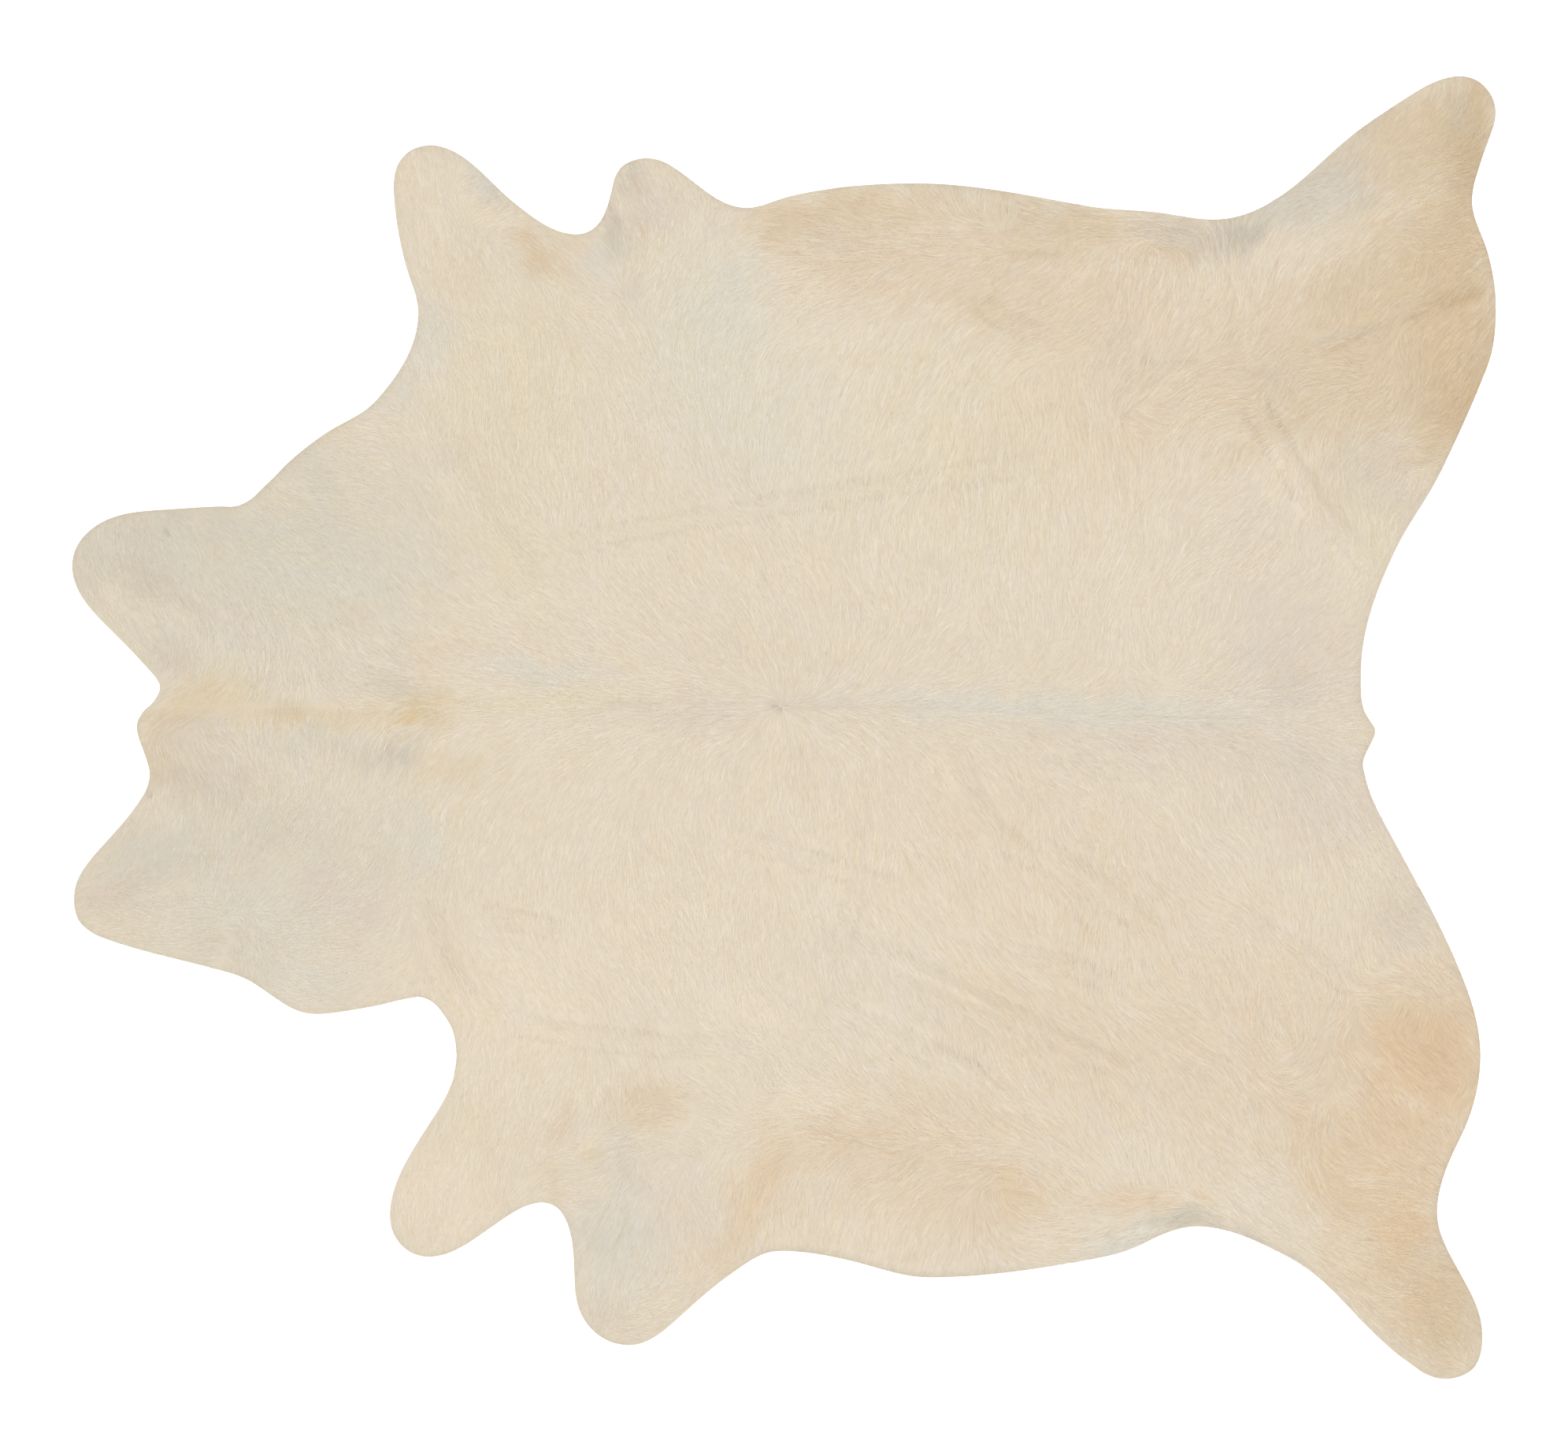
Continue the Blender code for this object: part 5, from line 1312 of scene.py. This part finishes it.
@dataclass(frozen=True)
class CutLeather:
    """The knife's cut through the tanned sheet: dense, pale and slightly shiny."""

    colour: str = "#D8CDBA"
    roughness: float = 0.6
    grain: float = 1.2  # mm
    darkest: float = 0.88  # share of its colour
    lightest: float = 1.06

    def material(self) -> bpy.types.Material:
        """Fine layers show as a faint mottling."""
        made, shader = new_material("cut leather", Roughness=self.roughness)
        tree = made.node_tree
        place = add_node(tree, "TexCoord")
        noise = add_node(tree, "TexNoise", {"Scale": 1 / (self.grain * MM)},
                         {"Vector": place.outputs["Object"]})
        shade = add_node(tree, "MapRange", {"To Min": self.darkest, "To Max": self.lightest},
                         {"Value": noise.outputs["Fac"]})
        base = add_node(tree, "RGB")
        base.outputs[0].default_value = (*linear(self.colour), 1.0)
        mixed = add_node(tree, "VectorMath", {"operation": "SCALE"},
                         {"Vector": base.outputs[0], "Scale": shade.outputs["Result"]})
        tree.links.new(mixed.outputs["Vector"], shader.inputs["Base Color"])
        return made


def new_piece(name: str, points: np.ndarray, faces: np.ndarray, sizes: np.ndarray,
              materials: list[bpy.types.Material]) -> bpy.types.Object:
    """Puts a surface into a mesh and the mesh into the scene.

    Args:
        name: The piece's name.
        points: The surface's points in metres, one row each.
        faces: The faces' corners, one after another.
        sizes: How many corners each face has.
        materials: The piece's materials.

    Returns:
        The object, at the origin.
    """
    mesh = bpy.data.meshes.new(name)
    mesh.vertices.add(len(points))
    mesh.vertices.foreach_set("co", points.astype(np.float32).ravel())
    mesh.loops.add(len(faces))
    mesh.loops.foreach_set("vertex_index", faces.astype(np.int32))
    mesh.polygons.add(len(sizes))
    mesh.polygons.foreach_set("loop_start", (np.cumsum(sizes) - sizes).astype(np.int32))
    mesh.update(calc_edges=True)
    mesh.validate()
    mesh.shade_smooth()
    for material in materials:
        mesh.materials.append(material)
    piece = bpy.data.objects.new(name, mesh)
    bpy.context.scene.collection.objects.link(piece)
    return piece


def paint(piece: bpy.types.Object, colours: np.ndarray) -> None:
    """Gives each point of a piece its linear colour, as the attribute that materials read."""
    layer = piece.data.color_attributes.new(name=TONE, type="FLOAT_COLOR", domain="POINT")
    opaque = np.column_stack([colours, np.ones(len(colours))])
    layer.data.foreach_set("color", opaque.astype(np.float32).ravel())


def lay_map(piece: bpy.types.Object, spots: np.ndarray) -> None:
    """Gives a piece its UV map from one row for each of its points."""
    mesh = piece.data
    corners = np.empty(len(mesh.loops), np.int32)
    mesh.loops.foreach_get("vertex_index", corners)
    layer = mesh.uv_layers.new(name=BAKE_MAP)
    layer.uv.foreach_set("vector", spots[corners].astype(np.float32).ravel())


@dataclass
class TannedSheet:
    """The hide's leather with its undercoat above, its flesh side below and its cut edge."""

    relief: Relief
    comb: CombField
    edge_step: float = 6.0  # mm between points of the cut
    fine_step: float = 9.0  # mm between points on folds and along the cut
    open_share: int = 3  # elsewhere, one point in so many each way
    fine_band: float = 24.0  # mm from the cut
    gap: float = 6.0  # mm that all of them keep from the cut
    level: float = 0.02  # mm of lift up to which the sheet counts as flat
    inside_only: int = 1  # asks for the triangles within the rim and no others
    weld: float = 1e-4  # mm within which two points are one
    undercoat_drop: float = 0.45  # mm that the undercoat lies below the coat's surface
    least_coat: float = 0.1  # share of the coat's depth that the undercoat keeps at least
    shade: float = 0.985  # painted shade: share of the hide's tone that the undercoat keeps under the locks over it
    crisp: float = 50.0  # degrees between two faces from where their edge is sharp
    map_room: float = 1.02  # size of its map, as a share of its largest measure
    map_inset: float = 0.005  # share of the map by which it keeps from the lower left corner

    def _plan(self) -> tuple[np.ndarray, list, int]:
        """The sheet's flat points, its triangles and how many points lie on the cut."""
        edge = self.relief.edge
        rim, _ = edge.smoothed(self.edge_step)
        low, high = edge.map.low, edge.map.places[-1]
        counts = np.ceil((high - low) / self.fine_step * np.array([1.0, 2 / math.sqrt(3)]))
        across, up = np.meshgrid(np.arange(counts[0]), np.arange(counts[1]))
        sparse = (across % self.open_share == 0) & (up % self.open_share == 0)
        x = low[0] + self.fine_step * (across + up % (2 * self.open_share) / 2)
        y = low[1] + self.fine_step * math.sqrt(3) / 2 * up
        inner = np.stack([x.ravel(), y.ravel()], axis=1)
        depth = edge.depth(inner)
        fine = (self.relief.lift(inner) > self.level) | (depth < self.fine_band)
        inner = inner[(depth > self.gap) & (fine | sparse.ravel())]
        vectors = [Vector(place) for place in np.concatenate([rim, inner]).tolist()]
        spread, _, triangles, *_ = geometry.delaunay_2d_cdt(
            vectors, [], [list(range(len(rim)))], self.inside_only, self.weld
        )
        return np.array([tuple(place) for place in spread]), triangles, len(rim)

    def build(self) -> bpy.types.Object:
        """Makes the sheet: undercoat on top, flesh side below, and the cut between them.

        Returns:
            The piece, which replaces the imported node.
        """
        plan, triangles, rim = self._plan()
        under = self.relief.lift(plan)
        coat = self.relief.coat(plan, self.relief.edge.depth(plan))
        undercoat = np.maximum(coat - self.undercoat_drop, self.least_coat * coat)
        top = under + self.relief.leather + undercoat
        count = len(plan)
        points = np.concatenate([np.column_stack([plan, top]), np.column_stack([plan, under])])
        upper = np.array(triangles)
        here = np.arange(rim)
        there = np.roll(here, -1)
        wall = np.stack([here, here + count, there + count, there], axis=1)
        faces = np.concatenate([upper.ravel(), (upper[:, ::-1] + count).ravel(), wall.ravel()])
        sizes = np.repeat([3, 3, 4], [len(upper), len(upper), rim])
        sheet = new_piece("leather_sheet", points * MM, faces, sizes,
                          [Undercoat().material(), FleshSuede().material(),
                           CutLeather().material()])
        worn = np.repeat([0, 1, 2], [len(upper), len(upper), rim])
        sheet.data.polygons.foreach_set("material_index", worn.astype(np.int32))
        sheet.data.set_sharp_from_angle(angle=math.radians(self.crisp))
        paint(sheet, np.tile(self.comb.tones(plan) * self.shade, (2, 1)))
        span = np.ptp(plan, axis=0).max() * self.map_room
        spots = (plan - plan.min(axis=0)) / span * np.array([0.5, 1.0])
        # The undercoat has the map's left half and the flesh side its right half
        spots = np.concatenate([spots, spots + np.array([0.5, 0.0])]) + self.map_inset
        lay_map(sheet, spots)
        return sheet


@dataclass
class LyingCoat:
    """The hair itself: locks that lie down along the comb, shingled from root to tip."""

    relief: Relief
    comb: CombField
    spacing: float = 3.2  # mm between roots
    bare: float = 0.8  # mm inside the cut without roots
    least: float = 3.0  # mm, the shortest lock that is worth making
    length_range: tuple[float, float] = (0.7, 1.25)  # of the length that grows there
    width_range: tuple[float, float] = (0.75, 1.25)  # and of the width
    stations: tuple[float, ...] = (0.0, 0.5, 1.0)
    widths: tuple[float, ...] = (0.55, 0.8, 0.0)  # of the lock's width, at each station
    drops: tuple[float, ...] = (0.34, 0.24, 0.18)  # mm below the coat's surface, at each station
    ruffle: float = 0.1  # mm that a whole lock may lie higher or lower
    lights: tuple[float, ...] = (0.994, 1.0, 1.006)  # of the lock's colour, root to tip: painted shade at the root under the locks over it
    # Where the strokes are stronger, their darker lines are partly painted shade between clumps of
    # hair
    ruffled: float = 0.35  # share by which the strokes' strength comes and goes
    ruffled_pitch: float = 45.0  # mm over which it does
    swing: float = 3.0  # degrees that one lock may turn from the comb
    bend: float = 5.0  # degrees that it may bend along its length
    tuft: float = 12.0  # mm across, a tuft whose tips draw together
    draw: float = 0.12  # how far they do
    draw_power: float = 1.5  # of the share of the way to the tip
    tuft_stray: float = 0.5  # share of its size by which a tuft's middle strays
    tuft_phases: tuple[tuple[float, float], ...] = ((12.9898, 78.233), (39.346, 11.135))
    tuft_scatter: float = 43758.5453  # with the phases, strays that show no pattern
    roll: float = 0.8  # degrees that a lock may turn about its own length
    carried: float = 6.0  # mm along itself, from where a lock may bring its patch's colour
    brushed: float = 10.0  # mm more or less, along with the broad streaks
    fine_streaks: tuple[float, float, int] = (2.0, 4.0, 3)  # pitch and stride in mm, strides
    broad_streaks: tuple[float, float, int] = (5.0, 9.0, 3)
    own_light: float = 0.031  # how much locks differ in lightness
    fine_light: float = 0.0155  # how much the fine streaks do
    broad_light: float = 0.004  # and the broad ones
    fine_warmth: float = 0.016  # how much the fine streaks differ in warmth
    broad_warmth: float = 0.013  # and the broad ones
    deepening: tuple[float, ...] = (0.7, 1.0, 1.3)  # share of the lightness in each colour
    warming: tuple[float, ...] = (0.3, 0.0, -0.7)  # share of the warmth in each colour
    warmest: float = 0.7  # warmth at the right side of the map of colours
    map_apart: float = 0.002  # share of the map between a lock's middle and its sides
    map_rim: float = 0.01  # share of it that is kept clear at each side
    seed: int = 7
    zones: tuple[str, ...] = ("coat_neck", "coat_shoulders", "coat_barrel", "coat_loins",
                              "coat_hindquarters")

    def roots(self) -> np.ndarray:
        """Places of the roots: one in each square of a lattice, moved at random in it."""
        edge = self.relief.edge
        rng = np.random.default_rng(self.seed)
        squares = Lattice(edge.map.low, edge.map.places[-1], self.spacing)
        places = squares.places + rng.uniform(-0.5, 0.5, squares.places.shape) * self.spacing
        return places[edge.depth(places) > self.bare]

    def _paths(self, roots: np.ndarray, lengths: np.ndarray, turns: np.ndarray,
               bends: np.ndarray) -> np.ndarray:
        """Follows the comb from each root, in as many steps as there are stations.

        Args:
            roots: Where the locks begin.
            lengths: Their lengths.
            turns: The angle by which each keeps away from the comb, in radians.
            bends: The angle by which it turns further by its tip.

        Returns:
            The stations' places, by lock and station.
        """
        places = [roots]
        heading = self.comb.direction(roots)
        for here, there in zip(self.stations, self.stations[1:]):
            way = self.comb.direction(places[-1])
            way = np.where((way * heading).sum(axis=1)[:, None] < 0, -way, way)
            heading = way
            own = turned(way, turns + bends * there)
            places.append(places[-1] + own * (lengths * (there - here))[:, None])
        return np.stack(places, axis=1)

    def _within_cut(self, paths: np.ndarray, lengths: np.ndarray) -> np.ndarray:
        """Lengths cut back to where each lock would pass the trimmed edge."""
        depth = self.relief.edge.depth(paths.reshape(-1, 2)).reshape(paths.shape[:2])
        reach = np.ones(len(paths))
        for last in reversed(range(1, len(self.stations))):
            before, after = depth[:, last - 1], depth[:, last]
            share = np.clip(before / np.maximum(before - after, 1e-6), 0.0, 1.0)
            here, there = self.stations[last - 1], self.stations[last]
            reach = np.where(after < 0, here + share * (there - here), reach)
        return lengths * reach

    def locks(self) -> tuple[np.ndarray, np.ndarray, np.ndarray]:
        """Works out every lock.

        Returns:
            The points of all locks in millimetres, five to a lock, their colours, and
            their root's place towards the tail.
        """
        rng = np.random.default_rng(self.seed + 1)
        roots = self.roots()
        count = len(roots)
        edge = self.relief.edge
        length, width, _ = self.comb.growth(roots)
        lengths = length * rng.uniform(*self.length_range, count)
        halves = width * rng.uniform(*self.width_range, count) / 2
        turns = np.radians(rng.normal(0.0, self.swing, count))
        bends = np.radians(rng.normal(0.0, self.bend, count))
        lengths = self._within_cut(self._paths(roots, lengths, turns, bends), lengths)
        kept = lengths > self.least
        roots, lengths, halves, turns, bends = (
            values[kept] for values in (roots, lengths, halves, turns, bends)
        )
        count = len(roots)
        paths = self._paths(roots, lengths, turns, bends)
        cell = np.floor(roots / self.tuft)
        jitter = np.sin(cell @ np.array(self.tuft_phases)) * self.tuft_scatter
        middle = (cell + 0.5 + self.tuft_stray * (jitter % 1.0 - 0.5)) * self.tuft
        run = paths[:, -1] - paths[:, 0]
        run /= np.maximum(np.linalg.norm(run, axis=1), 1e-6)[:, None]
        side = np.stack([-run[:, 1], run[:, 0]], axis=1)
        aside = ((middle - roots) * side).sum(axis=1)
        drawn = self.draw * np.array(self.stations) ** self.draw_power
        paths = paths + (aside[:, None] * drawn)[:, :, None] * side[:, None, :]
        flat = paths.reshape(-1, 2)
        depth = edge.depth(flat)
        coat = self.relief.coat(flat, depth).reshape(count, -1)
        lift = self.relief.lift(flat).reshape(count, -1)
        drop = np.array(self.drops) + rng.uniform(-self.ruffle, self.ruffle, count)[:, None]
        height = lift + self.relief.leather + coat - drop
        step = np.gradient(paths, axis=1)
        step /= np.maximum(np.linalg.norm(step, axis=2), 1e-6)[:, :, None]
        roll = np.radians(rng.normal(0.0, self.roll, count))[:, None]
        half = halves[:, None] * np.array(self.widths)
        across = np.stack([-step[:, :, 1] * np.cos(roll), step[:, :, 0] * np.cos(roll),
                           np.broadcast_to(np.sin(roll), half.shape)], axis=2)
        spine = np.concatenate([paths, height[:, :, None]], axis=2)
        left = spine + across * half[:, :, None]
        right = spine - across * half[:, :, None]
        points = np.concatenate([left[:, :2], right[:, :2], spine[:, 2:]], axis=1)
        tones = self._tones(flat, run, rng)
        return points, tones[:, [0, 1, 0, 1, 2]], roots[:, 0]

    def _tones(self, flat: np.ndarray, run: np.ndarray, rng: np.random.Generator) -> np.ndarray:
        """Colours of all locks.

        Args:
            flat: Places of all stations, lock after lock.
            run: The way that each lock takes, as a unit vector.
            rng: Source of the locks' own differences.

        Returns:
            Linear colours by lock and station.
        """
        count, stations = len(run), len(self.stations)
        edge = self.relief.edge
        marked = self.comb.growth(flat)[2]
        gusts = Unevenness(edge, self.ruffled_pitch, self.seed + 6).at(flat)
        marked = marked * (1 + self.ruffled * gusts)
        fine = Streaks(edge, self.comb, *self.fine_streaks, self.seed + 3).at(flat)
        broad = Streaks(edge, self.comb, *self.broad_streaks, self.seed + 5).at(flat)
        brought = np.repeat(rng.normal(0.0, self.carried, count), stations)
        brought += self.brushed * broad[:, 0]
        tones = self.comb.tones(flat, np.repeat(run, stations, axis=0) * brought[:, None])
        own = np.repeat(rng.normal(0.0, self.own_light, count), stations)
        light = marked * (self.fine_light * fine[:, 0] + own)
        light += marked**2 * self.broad_light * broad[:, 0]
        warmth = marked * self.fine_warmth * fine[:, 1] + self.broad_warmth * broad[:, 1]
        tones *= 1 + np.outer(light, self.deepening) + np.outer(warmth, self.warming)
        tones = tones.reshape(count, stations, 3) * np.array(self.lights)[:, None]
        return np.clip(tones, 0.0, 1.0)

    def build(self) -> list[bpy.types.Object]:
        """Makes the coat's pieces, one for each fifth of the locks from head to tail."""
        points, colours, along = self.locks()
        material = CreamHair().material()
        order = np.argsort(along, kind="stable")
        lock = np.array([0, 2, 3, 1, 1, 3, 4])  # a four-sided foot and a three-sided tip
        pieces = []
        for name, members in zip(self.zones, np.array_split(order, len(self.zones))):
            count = len(members)
            faces = (np.arange(count) * points.shape[1])[:, None] + lock
            sizes = np.tile([4, 3], count)
            piece = new_piece(name, points[members].reshape(-1, 3) * MM, faces.ravel(), sizes,
                              [material])
            colour = colours[members].reshape(-1, 3)
            paint(piece, colour)
            lay_map(piece, self._colour_spots(colour, count))
            pieces.append(piece)
        return pieces

    def _colour_spots(self, colour: np.ndarray, count: int) -> np.ndarray:
        """A map on which a point's place is its warmth and its lightness.

        The lock's left and right side are set a little apart, so that no face is a line.
        """
        warmth = (colour[:, 0] - colour[:, 2]) / np.maximum(colour[:, 0], 1e-3)
        light = colour.mean(axis=1)
        apart = np.tile([-1, -1, 1, 1, 0], count) * self.map_apart
        spots = np.stack([warmth / self.warmest + apart, light], axis=1)
        return self.map_rim + (1 - 2 * self.map_rim) * np.clip(spots, 0.0, 1.0)


@dataclass
class Studio:
    """Light table, sun and camera, as for a cut-out picture from straight above."""

    photo: PhotoFrame
    lens: float = 85.0
    sensor: float = 36.0
    table_size: float = 40.0  # metres
    table_drop: float = 0.2  # mm below the flesh side, so that the two never flicker
    table_colour: tuple[float, ...] = (0.5, 0.5, 0.5, 1.0)
    table_roughness: float = 0.9
    table_specular: float = 0.1
    table_glow: float = 0.9  # which hides the shadow along the cut, as in the photograph
    sky: float = 0.983
    sun: float = 0.40  # watts for each square metre
    sun_from: tuple[float, float, float] = (-0.85, -0.8, 1.0)
    sun_angle: float = 20.0  # degrees across, for soft shadows

    def build_table(self) -> bpy.types.Object:
        """A wide white light table."""
        half = self.table_size / 2
        corners = np.array([[-1, -1], [1, -1], [1, 1], [-1, 1]]) * half
        points = np.column_stack([corners, np.full(4, -self.table_drop * MM)])
        material, shader = new_material("white light table", Roughness=self.table_roughness,
                                        Specular_IOR_Level=self.table_specular,
                                        Emission_Strength=self.table_glow)
        shader.inputs["Base Color"].default_value = self.table_colour
        shader.inputs["Emission Color"].default_value = WHITE
        table = new_piece("light_table", points, np.arange(4), np.array([4]), [material])
        return table

    def build_light(self) -> None:
        """An even pale sky, and one soft sun from the lower left."""
        world = bpy.data.worlds.new("studio")
        world.use_nodes = True
        background = world.node_tree.nodes["Background"]
        background.inputs["Color"].default_value = WHITE
        background.inputs["Strength"].default_value = self.sky
        bpy.context.scene.world = world
        lamp = bpy.data.lights.new("sun", "SUN")
        lamp.energy, lamp.angle = self.sun, math.radians(self.sun_angle)
        sun = bpy.data.objects.new("sun", lamp)
        sun.location = self.sun_from
        sun.rotation_mode = "QUATERNION"
        sun.rotation_quaternion = (-Vector(self.sun_from)).to_track_quat("-Z", "Y")
        bpy.context.scene.collection.objects.link(sun)

    def build_camera(self) -> None:
        """A long lens over the middle of the picture, looking straight down."""
        view = self.photo.width * self.photo.scale * MM
        middle = self.photo.places(self.photo.width / 2, self.photo.height / 2) * MM
        data = bpy.data.cameras.new("camera")
        data.lens, data.sensor_width = self.lens, self.sensor
        camera = bpy.data.objects.new("camera", data)
        camera.location = (*middle, view * self.lens / self.sensor)
        bpy.context.scene.collection.objects.link(camera)
        bpy.context.scene.camera = camera

    def build(self) -> None:
        """Sets everything up."""
        self.build_table()
        self.build_light()
        self.build_camera()
        bpy.context.scene.view_settings.view_transform = "Standard"


def main() -> None:
    """Builds the hide and the studio, and reports each piece."""
    logging.basicConfig(level=logging.INFO, format="%(name)s: %(message)s")
    length = (CAD_BOX[1].x - CAD_BOX[0].x) / MM
    photo = PhotoFrame(hide_length=length)
    Studio(photo).build()
    edge = TrimmedEdge(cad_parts[NODE], CAD_BOX)
    log.info("edge: %d corners, %d samples", len(edge.corners), len(edge.samples))
    relief = Relief(edge)
    comb = CombField(photo, edge)
    sheet = TannedSheet(relief, comb).build()
    coat = LyingCoat(relief, comb).build()
    for piece in (sheet, *coat):
        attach(piece, "root")
        log.info("%s: %d faces", piece.name, len(piece.data.polygons))
    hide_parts(NODE)


if __name__ == "__main__":
    main()
